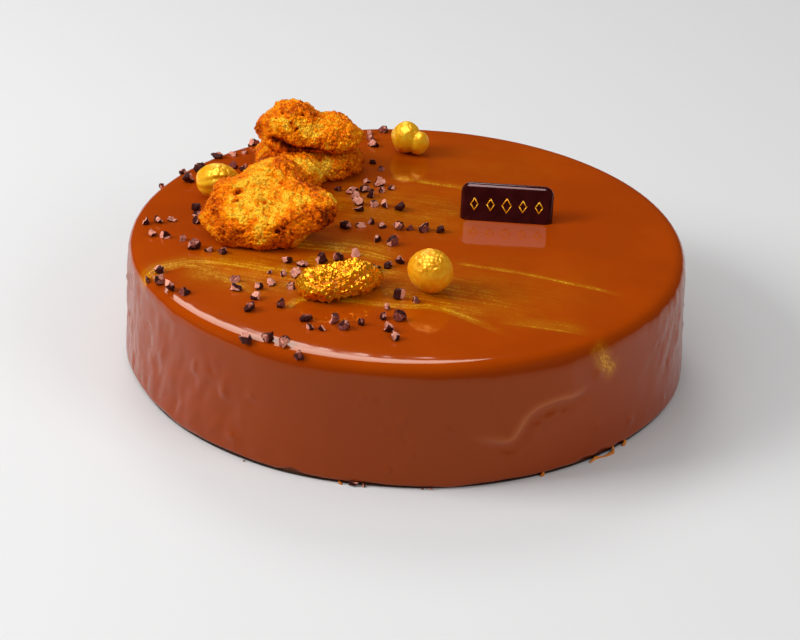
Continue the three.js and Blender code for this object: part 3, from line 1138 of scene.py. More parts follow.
@dataclass
class GlazedCake:
    """The round cake under its poured glaze.

    Swells are waves per turn, depth and phase. Foot bites are bearing in degrees, rise and reach.
    """

    finish: GlazeFinish = field(default_factory=GlazeFinish)
    relief: WallRelief = field(default_factory=WallRelief)
    dust: GoldDust = field(default_factory=GoldDust)
    node: str = "glazed_cake"
    radius: float = CAKE_RADIUS
    height: float = TOP_LEVEL
    shoulder_reach: float = 7.0
    shoulder_drop: float = 6.6
    fullness: float = 3.6
    flare: float = 1.2
    waist: float = 0.3
    foot_overhang: float = 0.25
    foot_height: float = 0.8
    lip: float = 1.4
    sectors: int = 600
    crowding: float = 0.35
    inner_ring: float = 0.8
    top_rings: int = 78
    bend_rings: int = 14
    wall_rings: int = 46
    lip_rings: int = 6
    foot_rings: int = 2
    swells: tuple[Point, ...] = (
        (1, 0.6, 2.6),
        (2, 1.2, 1.7),
        (3, 0.55, 0.2),
        (7, 0.15, 2.1),
        (12, 0.12, 4.4),
    )
    foot_bites: tuple[Point, ...] = (
        (-20.7, 1.3, 2.6),
        (10.5, -0.6, 5.0),
        (38.0, 0.9, 2.2),
        (42.6, 1.3, 2.6),
        (47.3, 0.6, 2.0),
        (118.0, 1.0, 2.4),
    )
    foot_wave: Wave = Wave(0.45, 10.0, 3)
    foot_span: Span = (0.5, 5.0)
    foot_seed: int = 6
    calm_reach: float = 4.0
    shoulder_wave: Wave = Wave(0.022, 7.0)
    shoulder_seed: int = 9
    pool_wave: Wave = Wave(0.04, 38.0)
    pool_seed: int = 4
    edge_sag: float = 0.09
    edge_insets: Span = (10.5, 4.0)
    tone_span: Span = (-3.8, 0.3)
    least_rise: float = 0.02

    def swell(self, angle: np.ndarray | float) -> np.ndarray | float:
        """How far the poured wall stands out at each angle round the cake."""
        return sum(depth * np.cos(waves * angle + phase) for waves, depth, phase in self.swells)

    def lip_reach(self, bearing: np.ndarray | float) -> np.ndarray | float:
        """Distance of the lip from the cake's axis at each bearing."""
        return self.radius + self.flare + self.swell(bearing - math.pi / 2)

    def wall_share(self, level: np.ndarray) -> np.ndarray:
        """1 on the wall, fading to 0 over the shoulder."""
        return 1.0 - ease(level, self.height - self.shoulder_drop, self.height)

    def lift(self, points: np.ndarray) -> np.ndarray:
        """How far points stand over the glaze of the top and the shoulder.

        Args:
            points: places to measure, one row each.

        Returns:
            Height above the glaze, negative below it and all down the wall.
        """
        level = points[:, 2]
        swell = self.wall_share(level) * self.swell(np.arctan2(points[:, 1], points[:, 0]))
        over = np.hypot(points[:, 0], points[:, 1]) - swell - (self.radius - self.shoulder_reach)
        over = np.maximum(over, 0.0) / self.shoulder_reach
        rise = np.maximum(level - self.height + self.shoulder_drop, 0.0) / self.shoulder_drop
        lift = (over**self.fullness + rise**self.fullness) ** (1.0 / self.fullness) - 1.0
        return np.where(rise > self.least_rise, self.shoulder_drop * lift, -1.0)

    def shoulder(self) -> list[tuple[float, ...]]:
        """Section of the shoulder, from the top down to the wall.

        Returns:
            Rows of radius, height, and the outward direction in the section.
        """
        half = 0.5 ** (1.0 / self.fullness)
        even = np.linspace(0.0, half, self.bend_rings)
        full = (1.0 - even**self.fullness) ** (1.0 / self.fullness)
        over = np.concatenate([even, full[::-1][1:]])
        lift = np.concatenate([full, even[::-1][1:]])
        out = over ** (self.fullness - 1.0) / self.shoulder_reach
        up = lift ** (self.fullness - 1.0) / self.shoulder_drop
        length = np.hypot(out, up)
        reach = self.radius + self.shoulder_reach * (over - 1.0)
        level = self.height + self.shoulder_drop * (lift - 1.0)
        return list(zip(reach, level, out / length, up / length))

    def section(self) -> np.ndarray:
        """Half section from the middle of the top to the foot.

        Returns:
            Rows of radius, height, and the outward direction in the section.
        """
        level = self.height - self.shoulder_drop
        lip_radius = self.radius + self.flare
        lip_level = self.foot_height + self.lip
        flat = np.linspace(self.inner_ring, self.radius - self.shoulder_reach, self.top_rings)[:-1]
        rows = [(reach, self.height, 0.0, 1.0) for reach in flat] + self.shoulder()
        for rise in np.linspace(1.0, 0.0, self.wall_rings)[1:]:
            waist = self.waist * np.sin(np.pi * rise) ** 2
            out = lip_radius + (self.radius - lip_radius) * rise - waist
            rows.append((out, lip_level + (level - lip_level) * rise, 1.0, 0.0))
        for turn in np.linspace(0.0, np.pi / 2, self.lip_rings)[1:]:
            out = lip_radius - self.lip + self.lip * np.cos(turn)
            rows.append((out, lip_level - self.lip * np.sin(turn), np.cos(turn), -np.sin(turn)))
        for foot_level in np.linspace(self.foot_height, 0.0, self.foot_rings):
            rows.append((self.radius + self.foot_overhang, foot_level, 0.0, -1.0))
        return np.array(rows)

    def foot_wobble(self, bearing: np.ndarray) -> np.ndarray:
        """How far the lip's lower edge rises or sags round the cake.

        Args:
            bearing: angle of each point from the front, to the right.

        Returns:
            Rise of each point, negative where it sags.
        """
        wobble = self.foot_wave.over(noise_points(bearing, np.zeros(len(bearing))), self.foot_seed)
        for at, rise, reach in self.foot_bites:
            wobble += rise * bell((bearing - math.radians(at)) * self.radius, reach)
        return wobble

    def surface(self, bearing: np.ndarray, rows: np.ndarray, foot: np.ndarray) -> np.ndarray:
        """Where the glaze lies, with its swells, relief and sags.

        Args:
            bearing: angle of each point from the front, to the right.
            rows: radius, height and outward direction of each point in the plain section.
            foot: whether each point belongs to the foot under the lip.

        Returns:
            Places, one row each.
        """
        reach, level, out, up = rows.T
        wall = self.wall_share(level)
        reach = reach + wall * self.swell(np.arctan2(-np.cos(bearing), np.sin(bearing)))
        calm = wall * ease(level, self.foot_height, self.foot_height + self.calm_reach)
        bend = (up > 0.0) * (out > 0.0)
        flat = (up > 0.0) * (out == 0.0)
        stand = calm * self.relief.height(bearing, level)
        stand += bend * self.shoulder_wave.over(noise_points(bearing, level), self.shoulder_seed)
        stand += flat * self.pool_wave.over(round_points(bearing, reach, level), self.pool_seed)
        edge_start, edge_end = (self.radius - inset for inset in self.edge_insets)
        edge = self.edge_sag * np.maximum(up, 0.0) * ease(reach, edge_start, edge_end)
        sag = self.foot_wobble(bearing) * (1.0 - ease(level, *self.foot_span)) * ~foot
        reach = reach + stand * np.where(up >= 0.0, out, 0.0)
        level = level + stand * np.maximum(up, 0.0) + sag - edge
        return round_points(bearing, reach, np.maximum(level, 0.0))

    def build(self) -> bpy.types.Object:
        """Makes the cake's body.

        Returns:
            The piece.
        """
        rows = self.section()
        even = np.linspace(0.0, 2.0 * math.pi, self.sectors, endpoint=False) - math.pi
        bearing, row = np.meshgrid(even - self.crowding * np.sin(even), np.arange(len(rows)))
        bearing, row = bearing.ravel(), row.ravel()
        foot = row >= len(rows) - self.foot_rings
        middles = ((0.0, 0.0, self.height), (0.0, 0.0, 0.0))
        points = np.vstack([self.surface(bearing, rows[row], foot), middles])
        mesh = new_mesh(points, self.faces(len(rows)))
        dust, flow = self.dust.lay(points)
        tone_start, tone_end = (self.height + offset for offset in self.tone_span)
        crease_sheen = self.relief.crease_sheen_share(bearing, rows[row][:, 1])
        store(mesh, "gilt", dust)
        store(mesh, "gilt_flow", flow)
        # The wall attribute makes the shoulder and the wall rougher and darkens them with painted shade.
        store(mesh, "wall", 1.0 - ease(points[:, 2], tone_start, tone_end))
        # The foot attribute marks the foot under the lip, which is painted near black as shadow.
        store(mesh, "foot", np.append(foot, (0.0, 0.0)))
        # Painted sheen along the crease.
        store(mesh, "crease_sheen", np.append(crease_sheen, (0.0, 0.0)))
        return add_piece("glazed_body", mesh, self.finish.material(), self.node)

    def faces(self, rows: int) -> list[Face]:
        """Faces of the turned body, its top and its underside.

        Args:
            rows: how many rings the body has.

        Returns:
            Corner indices of each face.
        """
        count = self.sectors
        last = (rows - 1) * count
        faces = [(a, d, c, b) for a, b, c, d in loop_faces(rows, count)]
        for here in range(count):
            after = (here + 1) % count
            faces.append((rows * count, here, after))
            faces.append((rows * count + 1, last + after, last + here))
        return faces


@dataclass
class CacaoNibs:
    """Broken nibs scattered over the glaze, and crumbs at the cake's foot.

    Each crumb is a bearing in degrees and a size.
    """

    cake: GlazedCake
    finish: NibFinish = field(default_factory=NibFinish)
    weld_gap: float = 0.001
    least_lift: float = 0.06
    root_depth: float = 0.7
    cuts: int = 4
    least_breaks: int = 4
    most_breaks: int = 9
    break_shares: Span = (0.35, 0.9)
    upright: Point = (1.0, 1.0, 0.8)
    skins: tuple[float, ...] = (0.0, 0.0, 0.0, 1.0)
    tones: Span = (0.15, 1.0)
    tone_spread: float = 0.35
    chip_size: float = 1.0
    chip_depth: float = 0.42
    chip_spread: float = 0.8
    rough_size: float = 1.2
    rough_share: float = 0.6
    sharp_angle: float = 26.0
    seed: int = 21
    crumbs: tuple[Span, ...] = ((-8.4, 2.4), (-6.6, 1.2), (4.4, 1.1), (6.1, 1.5), (-31.0, 0.7))
    crumb_gap: float = 0.1
    crumb_level: float = 0.42
    crumb_form: Point = (1.25, 1.0, 0.8)
    crumb_chips: Span = (0.7, 1.15)

    def shards(self) -> bmesh.types.BMesh:
        """The nibs of the solid, cut free of the cake and rooted in the glaze.

        Returns:
            A mesh in metres with only the nibs.
        """
        shards = bmesh.new()
        shards.from_mesh(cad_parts[self.cake.node].data)
        bmesh.ops.remove_doubles(shards, verts=shards.verts, dist=self.weld_gap * MM)
        lift = self.cake.lift(np.array([vert.co for vert in shards.verts]) / MM)
        shards.verts.index_update()
        glaze = [
            face for face in shards.faces if max(lift[vert.index] for vert in face.verts) < self.least_lift
        ]
        bmesh.ops.delete(shards, geom=glaze, context="FACES")
        edges = [edge for edge in shards.edges if edge.is_boundary]
        rim = bmesh.ops.extrude_edge_only(shards, edges=edges)["geom"]
        for vert in (part for part in rim if isinstance(part, bmesh.types.BMVert)):
            vert.co.z -= self.root_depth * MM
        return shards

    def add_crumbs(self, shards: bmesh.types.BMesh) -> None:
        """Lays small crumbs against the cake's foot.

        Args:
            shards: the nibs' mesh, which the crumbs are added to.
        """
        draw = np.random.default_rng(self.seed)
        wide, deep, tall = self.crumb_form
        for bearing, size in self.crumbs:
            angle = math.radians(bearing)
            reach = self.cake.lip_reach(angle) + self.crumb_gap * size
            place = Vector((reach * math.sin(angle), -reach * math.cos(angle), self.crumb_level * size)) * MM
            made = bmesh.ops.create_icosphere(shards, subdivisions=1, radius=0.5 * size * MM)
            for vert in made["verts"]:
                chip = draw.uniform(*self.crumb_chips)
                vert.co = place + Vector((wide * vert.co.x, deep * vert.co.y, tall * vert.co.z)) * chip

    @staticmethod
    def number(shards: bmesh.types.BMesh) -> None:
        """Gives all faces that hang together one number of their own.

        Args:
            shards: the mesh to number, which keeps the numbers in a layer of its faces.
        """
        layer = shards.faces.layers.int.new("shard")
        done = set()
        count = 0
        for start in shards.faces:
            if start in done:
                continue
            done.add(start)
            edge = [start]
            while edge:
                face = edge.pop()
                face[layer] = count
                near = {other for vert in face.verts for other in vert.link_faces} - done
                done |= near
                edge += near
            count += 1

    @staticmethod
    def owners(mesh: bpy.types.Mesh) -> np.ndarray:
        """The shard that each corner of a mesh belongs to.

        Args:
            mesh: a mesh with numbered shards.

        Returns:
            The number of each corner's shard.
        """
        owner = np.zeros(len(mesh.vertices), int)
        for face, shard in zip(mesh.polygons, mesh.attributes["shard"].data):
            owner[list(face.vertices)] = shard.value
        return owner

    def break_faces(
        self, points: np.ndarray, owner: np.ndarray
    ) -> tuple[np.ndarray, np.ndarray, np.ndarray]:
        """Breaks flat faces onto each shard.

        Args:
            points: corner places, one row each.
            owner: the number of each corner's shard.

        Returns:
            The new places, how much skin is left at each, and the tone of its break.
        """
        draw = np.random.default_rng(self.seed)
        points, skin, tone = points.copy(), np.ones(len(points)), np.zeros(len(points))
        for shard in range(owner.max() + 1):
            own = np.flatnonzero(owner == shard)
            middle = 0.5 * (points[own].min(axis=0) + points[own].max(axis=0))
            pale = draw.uniform(*self.tones)
            for _ in range(draw.integers(self.least_breaks, self.most_breaks)):
                way = draw.normal(size=3) * self.upright
                way[2] = abs(way[2])
                way /= np.linalg.norm(way)
                reach = (points[own] - middle) @ way
                over = reach - draw.uniform(*self.break_shares) * reach.max()
                cut = own[over > 0.0]
                points[cut] -= over[over > 0.0][:, None] * way
                skin[cut] = draw.choice(self.skins)
                tone[cut] = pale + draw.uniform(-self.tone_spread, self.tone_spread)
        return points, skin, tone

    def chips(self, points: np.ndarray) -> np.ndarray:
        """Chips all over the broken faces.

        Args:
            points: corner places, one row each.

        Returns:
            How far each corner stands out.
        """
        grain = Grain(self.seed)
        distance, own = grain.cells(points, self.chip_size)
        rough = grain.rough(points, self.rough_size, 2)
        return self.chip_depth * (self.chip_spread * (own - 0.5) + 0.5 - distance + self.rough_share * rough)

    def build(self) -> bpy.types.Object:
        """Makes all nibs and crumbs as one piece.

        Returns:
            The piece.
        """
        shards = self.shards()
        self.add_crumbs(shards)
        self.number(shards)
        bmesh.ops.subdivide_edges(shards, edges=shards.edges, cuts=self.cuts, use_grid_fill=True)
        mesh = bpy.data.meshes.new("nibs")
        shards.to_mesh(mesh)
        shards.free()
        points, skin, tone = self.break_faces(mesh_points(mesh), self.owners(mesh))
        move_points(mesh, points)
        move_points(mesh, points + mesh_normals(mesh) * self.chips(points)[:, None])
        store(mesh, "skin", skin)
        store(mesh, "tone", tone)
        mesh.shade_smooth()
        mesh.set_sharp_from_angle(angle=math.radians(self.sharp_angle))
        return add_piece("cacao_nibs", mesh, self.finish.material(), None)


@dataclass(kw_only=True)
class Topping:
    """A topping made from its solid: divided finely, given relief and set a little way into the glaze."""

    node: str
    seed: int
    levels: int = 3
    seat: float = 0.45
    seat_span: Span = (0.2, 2.0)

    def fine_mesh(self) -> tuple[bpy.types.Mesh, np.ndarray, np.ndarray]:
        """The solid's fine copy, with the place of each of its corners and the way that it faces."""
        mesh = fine_copy(self.node, self.levels)
        return mesh, mesh_points(mesh), mesh_normals(mesh)

    @staticmethod
    def foot_share(points: np.ndarray, span: Span) -> np.ndarray:
        """1 at the lowest points, fading to 0 over a span of heights."""
        return 1.0 - ease(points[:, 2] - points[:, 2].min(), *span)

    def raised(self, points: np.ndarray, normals: np.ndarray, stand: np.ndarray) -> np.ndarray:
        """Points moved out along their normals, the lowest sunk into the glaze.

        Args:
            points: places on the solid, one row each.
            normals: the way that each place faces.
            stand: how far each is moved out.

        Returns:
            The new places.
        """
        moved = points + normals * stand[:, None]
        moved[:, 2] -= self.seat * self.foot_share(points, self.seat_span)
        return moved


@dataclass(kw_only=True)
class Honeycomb(Topping):
    """One broken piece of honeycomb toffee.

    Pores, dark spots and undercuts are places, each with how far it is felt.
    """

    finish: HoneycombFinish
    seat_span: Span = (0.2, 3.0)
    crag: Wave = Wave(0.95, 7.0, 3)
    lump_size: float = 2.6
    lump_depth: float = 0.85
    grain_size: float = 0.9
    grain_depth: float = 0.5
    grain_spread: float = 1.1
    shrink: float = 0.35
    pore_size: float = 4.2
    pore_share: float = 0.30
    pore_depth: float = 1.7
    pore_reaches: Span = (0.06, 0.18)
    pore_floor: float = 0.4
    pit_floor: float = 0.3
    sway: Wave = Wave(0.55, 1.3, 1)
    pores: tuple[Spot, ...] = ()
    dark_spots: tuple[Spot, ...] = ()
    clefts: tuple[Trail, ...] = ()
    cleft_depth: float = 2.2
    cleft_reach: float = 1.3
    undercuts: tuple[Spot, ...] = ()
    undercut_depth: float = 3.2
    pale: tuple[Trail, ...] = ()
    pale_reach: float = 4.0
    toast_and_shade: float
    patch: Wave = Wave(0.42, 8.0, 3)
    downward_darkening: float = 0.06
    downward_span: Span = (-0.55, 0.35)
    hollow_shade_weight: float = 0.5
    # Painted shade in the hollows between grains, in burst bubbles and in clefts.
    hollow_span: Span = (-0.05, 0.5)
    grain_shade: float = 0.7
    pit_shade: float = 1.4
    dark_spot_weight: float = 0.25
    grain_toast: float = 0.2
    pale_toast: float = 0.48

    def build(self) -> bpy.types.Object:
        """Makes the piece.

        Returns:
            The piece.
        """
        mesh, points, normals = self.fine_mesh()
        lumps, _ = Grain(self.seed).cells(points, self.lump_size)
        fines, own = Grain(self.seed + 1).cells(points, self.grain_size)
        pits = self.pits(points)
        cleft = self.near(self.clefts, points, self.cleft_reach)
        small = self.lump_depth * (0.5 - lumps**2)
        small += self.grain_depth * (0.5 - fines**2 + self.grain_spread * (own - 0.5))
        stand = self.crag.over(points, self.seed) + small - self.shrink
        stand -= self.pore_depth * pits + self.cleft_depth * cleft
        stand -= self.undercut_depth * self.felt(self.undercuts, points)
        move_points(mesh, self.raised(points, normals, stand))
        # Painted shade: hollows between grains, burst bubbles and clefts are darkened.
        hollow_shade = self.grain_shade * ease(-small, *self.hollow_span)
        hollow_shade += self.pit_shade * np.maximum(pits, cleft)
        toast_and_shade = self.toasting_and_shade(points, normals, hollow_shade) + self.grain_toast * (own - 0.5)
        store(mesh, "toast_and_shade", np.clip(toast_and_shade, 0.0, 1.0))
        return add_piece(f"{self.node}_toffee", mesh, self.finish.material(), self.node)

    @staticmethod
    def near(trails: tuple[Trail, ...], points: np.ndarray, reach: float) -> np.ndarray:
        """How close points lie to some lines.

        Args:
            trails: the lines.
            points: places to measure, one row each.
            reach: how far a line is felt.

        Returns:
            1 on a line, fading to 0 away from all of them.
        """
        close = np.zeros(len(points))
        for trail in trails:
            offset, _, _ = trail.nearest(points)
            close = np.maximum(close, bell(offset, reach))
        return close

    @staticmethod
    def felt(spots: tuple[Spot, ...], points: np.ndarray) -> np.ndarray:
        """How much some spots are felt at points, summed over the spots.

        Args:
            spots: places, each with how far it is felt.
            points: places to measure, one row each.

        Returns:
            One number for each point, 1 or more on a spot.
        """
        total = np.zeros(len(points))
        for *place, reach in spots:
            total += bell(np.linalg.norm(points - place, axis=1), reach)
        return total

    def toasting_and_shade(self, points: np.ndarray, normals: np.ndarray, hollow_shade: np.ndarray) -> np.ndarray:
        """How brown the sugar is, with painted shade added in its hollows.

        Args:
            points: places on the piece, one row each.
            normals: the way that each place faces.
            hollow_shade: painted shade, by how deep it lies between grains, in a burst bubble or in a cleft.

        Returns:
            One number for each point, from 0 for pale to 1 for the darkest, where toast and painted shade
            add up.
        """
        toast_and_shade = self.toast_and_shade + self.patch.over(points, self.seed + 3)
        # Darker on faces turned downward.
        toast_and_shade += self.downward_darkening * ease(-normals[:, 2], *self.downward_span)
        # Painted shade in the hollows; darker at the given dark spots.
        toast_and_shade += self.hollow_shade_weight * hollow_shade + self.dark_spot_weight * self.felt(self.dark_spots, points)
        return toast_and_shade - self.pale_toast * self.near(self.pale, points, self.pale_reach)

    def pits(self, points: np.ndarray) -> np.ndarray:
        """Burst bubbles, from 0 on the skin to 1 at a pit's bottom.

        Args:
            points: places on the piece, one row each.

        Returns:
            One number for each point.
        """
        sways = [self.sway.over(points, self.seed + turn) for turn in (5, 6, 7)]
        bent = points + np.stack(sways, axis=1)
        distance, own = Grain(self.seed + 2).cells(bent, self.pore_size)
        least, most = self.pore_reaches
        reach = least + (most - least) * own / self.pore_share
        pits = np.where(own < self.pore_share, 1.0 - ease(distance, self.pore_floor * reach, reach), 0.0)
        for *place, size in self.pores:
            gap = np.linalg.norm(bent - place, axis=1)
            pits = np.maximum(pits, 1.0 - ease(gap, self.pit_floor * size, size))
        return pits


def honeycombs() -> tuple[Honeycomb, ...]:
    """The three pieces of honeycomb.

    Returns:
        The leaning slab, the piece under it and the piece on top.
    """
    finish = HoneycombFinish()
    slab = Honeycomb(
        node="honeycomb_front",
        finish=finish,
        seed=11,
        toast_and_shade=0.36,
        pores=(
            (-54.5, -1.4, 55.0, 1.9),
            (-55.3, -5.8, 53.3, 1.1),
            (-45.7, -7.4, 54.2, 1.2),
            (-41.1, 3.5, 55.9, 1.2),
            (-50.6, 0.1, 55.8, 0.9),
            (-41.1, -16.2, 48.0, 1.2),
        ),
        dark_spots=(
            (-28.8, -10.4, 51.4, 5.0),
            (-24.8, -9.7, 48.6, 4.0),
            (-41.1, -16.2, 48.0, 3.5),
            (-49.5, -14.4, 49.4, 2.5),
            (-54.6, -15.5, 45.4, 3.5),
            (-41.3, 13.3, 58.8, 3.5),
            (-61.5, -8.7, 51.1, 3.0),
            (-53.5, -2.0, 54.5, 2.5),
        ),
        undercuts=((-28.0, -13.0, 42.0, 4.5), (-33.5, -16.0, 41.0, 3.0), (-23.5, -7.0, 42.0, 3.5)),
        pale=(
            Trail(((-52.1, 4.8, 56.3), (-51.5, -2.5, 55.1), (-54.8, -8.3, 52.5), (-54.1, -12.2, 50.4))),
            Trail(((-44.9, 5.6, 56.6), (-38.8, -2.1, 55.9), (-34.2, -5.0, 54.8))),
            Trail(((-51.0, -10.2, 52.2), (-45.5, -9.5, 53.0), (-43.0, -11.5, 52.0), (-45.1, -16.0, 49.1))),
        ),
    )
    base = Honeycomb(
        node="honeycomb_base",
        finish=finish,
        seed=23,
        toast_and_shade=0.42,
        pale=(Trail(((-36.0, 31.0, 50.4), (-31.1, 31.9, 48.0), (-27.2, 38.4, 47.0))),),
    )
    top = Honeycomb(
        node="honeycomb_top",
        finish=finish,
        seed=37,
        toast_and_shade=0.33,
        pores=(
            (-36.7, 45.3, 62.4, 1.3),
            (-43.2, 45.4, 62.5, 0.7),
            (-48.6, 44.4, 59.1, 0.7),
            (-45.6, 43.4, 61.7, 0.7),
        ),
        clefts=(
            Trail(
                (
                    (-48.5, 41.0, 54.6),
                    (-46.6, 39.7, 54.9),
                    (-44.4, 38.7, 54.6),
                    (-41.9, 38.2, 53.4),
                    (-39.0, 38.4, 52.2),
                    (-35.2, 38.5, 51.6),
                    (-31.0, 38.7, 51.2),
                    (-26.0, 38.7, 51.0),
                )
            ),
        ),
        pale=(
            Trail(((-43.0, 41.4, 60.6), (-37.9, 41.1, 59.1), (-32.9, 40.6, 57.2), (-29.7, 43.4, 58.4))),
        ),
    )
    return slab, base, top


@dataclass(kw_only=True)
class GildedNugget(Topping):
    """Crumbly praline nugget in crumpled gold."""

    finish: GoldFinish = GoldFinish(
        "crumpled_gold",
        gold=(0.95, 0.30, 0.002),
        pale=(1.0, 0.41, 0.007),
        bare_and_shaded=(0.60, 0.14, 0.001),
        roughness=0.24,
        metal=0.65,
        blotch=0.35,
        grain=0.5,
        grain_depth=0.10,
    )
    node: str = "gilded_nugget"
    seed: int = 31
    bulge: Wave = Wave(0.9, 5.5, 1)
    bulge_shift: float = 20.0
    fold_size: float = 2.4
    fold_depth: float = 0.6
    fold_crest: float = 0.5
    crumple_size: float = 1.5
    crumple_depth: float = 0.65
    crumple_crest: float = 0.4
    crumple_hollow: float = 0.6
    shrink: float = 0.1
    hollow_span: Span = (0.05, 0.5)
    hollow_shade_share: float = 0.85
    base_shade: float = 0.7
    wear_and_shade_span: Span = (0.3, 2.4)

    def build(self) -> bpy.types.Object:
        """Makes the nugget.

        Returns:
            The piece.
        """
        mesh, points, normals = self.fine_mesh()
        wave = Grain(self.seed).rough(points, self.fold_size, 2)
        ripple = Grain(self.seed + 1).rough(points, self.crumple_size, 2)
        folds = self.fold_depth * (self.fold_crest - 2.0 * np.abs(wave))
        crumples = self.crumple_depth * (self.crumple_crest - 2.0 * np.abs(ripple))
        bulges = self.bulge.over(points + self.bulge_shift, self.seed)
        move_points(mesh, self.raised(points, normals, bulges + folds + crumples - self.shrink))
        # Painted shade: the crumples' hollows and the lowest part are turned toward the bare colour.
        hollow_shade = ease(-(folds + self.crumple_hollow * crumples), *self.hollow_span)
        wear_and_shade = self.hollow_shade_share * hollow_shade + self.base_shade * self.foot_share(points, self.wear_and_shade_span)
        store(mesh, "wear_and_shade", np.clip(wear_and_shade, 0.0, 1.0))
        return add_piece("crumpled_nugget", mesh, self.finish.material(), self.node)


@dataclass(frozen=True)
class SkinDepths:
    """How deep a nut's broad dents, its lengthwise ridges and its rough patch are."""

    dents: float
    ridges: float
    patch: float


class Skin(Enum):
    """How a gilded nut's skin lies."""

    CRINKLED = SkinDepths(0.05, 0.05, 0.85)
    RIDGED = SkinDepths(0.05, 0.24, 0.7)
    SMOOTH = SkinDepths(0.5, 0.06, 0.3)


@dataclass(kw_only=True)
class Hazelnut(Topping):
    """One gilded hazelnut."""

    skin: Skin
    finish: GoldFinish = GoldFinish("satin_gold")
    seat: float = 0.4
    axis: Point = (0.0, 0.0, 1.0)
    dent_size: float = 4.5
    ridges: int = 11
    ridge_sway: float = 1.5
    ridge_fade: float = 0.4
    patch_way: Point = (-0.1, -0.45, 0.88)
    patch_reach: float = 0.42
    patch_core: float = 0.4
    crinkle_size: float = 1.5
    crinkle_steps: float = 0.55
    crinkle_domes: float = 0.45
    dome_reach: float = 0.6
    crinkle_shade: float = 0.5
    crinkle_span: Span = (0.1, 0.4)
    patch_wear: float = 0.25
    wear: Wave = Wave(1.0, 5.0, 3)
    wear_shift: float = 9.0
    wear_span: Span = (0.3, 0.9)
    base_shade: float = 0.5
    wear_and_shade_span: Span = (0.2, 2.2)

    def build(self) -> bpy.types.Object:
        """Makes the nut.

        Returns:
            The piece.
        """
        mesh, points, normals = self.fine_mesh()
        depths = self.skin.value
        grain = Grain(self.seed)
        ray = points - 0.5 * (points.min(axis=0) + points.max(axis=0))
        ray /= np.linalg.norm(ray, axis=1)[:, None]
        facing = ray @ np.array(Vector(self.patch_way).normalized())
        patch = ease(facing, 1.0 - self.patch_reach, 1.0 - self.patch_core * self.patch_reach)
        near, own = grain.cells(points, self.crinkle_size)
        crinkle = self.crinkle_steps * (own - 0.5) + self.crinkle_domes * (self.dome_reach - near)
        stand = depths.dents * grain.rough(points, self.dent_size, 2)
        stand += depths.ridges * self.ridge_wave(ray) + depths.patch * patch * crinkle
        move_points(mesh, self.raised(points, normals, stand))
        # Painted shade and a painted reflection of the orange glaze near the foot, painted shade in the
        # crinkles' hollows, and worn patches.
        wear_and_shade = self.base_shade * self.foot_share(points, self.wear_and_shade_span)
        wear_and_shade += self.crinkle_shade * patch * ease(-crinkle, *self.crinkle_span)
        wear_and_shade += self.patch_wear * ease(self.wear.over(points + self.wear_shift, self.seed), *self.wear_span)
        store(mesh, "wear_and_shade", np.clip(wear_and_shade, 0.0, 1.0))
        return add_piece(f"{self.node}_gilt", mesh, self.finish.material(), self.node)

    def ridge_wave(self, ray: np.ndarray) -> np.ndarray:
        """Uneven ridges from one end of the nut to the other.

        Args:
            ray: directions from the nut's middle, one row each.

        Returns:
            Crests and hollows from -1 to 1.
        """
        axis = Vector(self.axis).normalized()
        side = axis.orthogonal().normalized()
        around = np.arctan2(ray @ np.array(axis.cross(side)), ray @ np.array(side))
        wave = np.cos(self.ridges * around + self.ridge_sway * np.cos(3 * around))
        wave *= 1.0 - self.ridge_fade + self.ridge_fade * np.cos(2 * around + 1.0)
        return wave * (1.0 - np.abs(ray @ np.array(axis)) ** 4)


def hazelnuts() -> tuple[Hazelnut, ...]:
    """The three gilded nuts, the two further back in brighter gold.

    Returns:
        The front, left and back nut.
    """
    bright = GoldFinish("bright_gold", gold=(1.0, 0.42, 0.004), pale=(1.0, 0.57, 0.018))
    return (
        Hazelnut(node="hazelnut_front", skin=Skin.CRINKLED, seed=41),
        Hazelnut(
            node="hazelnut_left",
            skin=Skin.RIDGED,
            seed=43,
            finish=bright,
            axis=(0.98, 0.15, 0.12),
            patch_way=(0.25, -0.7, 0.65),
        ),
        Hazelnut(node="hazelnut_back", skin=Skin.SMOOTH, seed=47, finish=bright),
    )


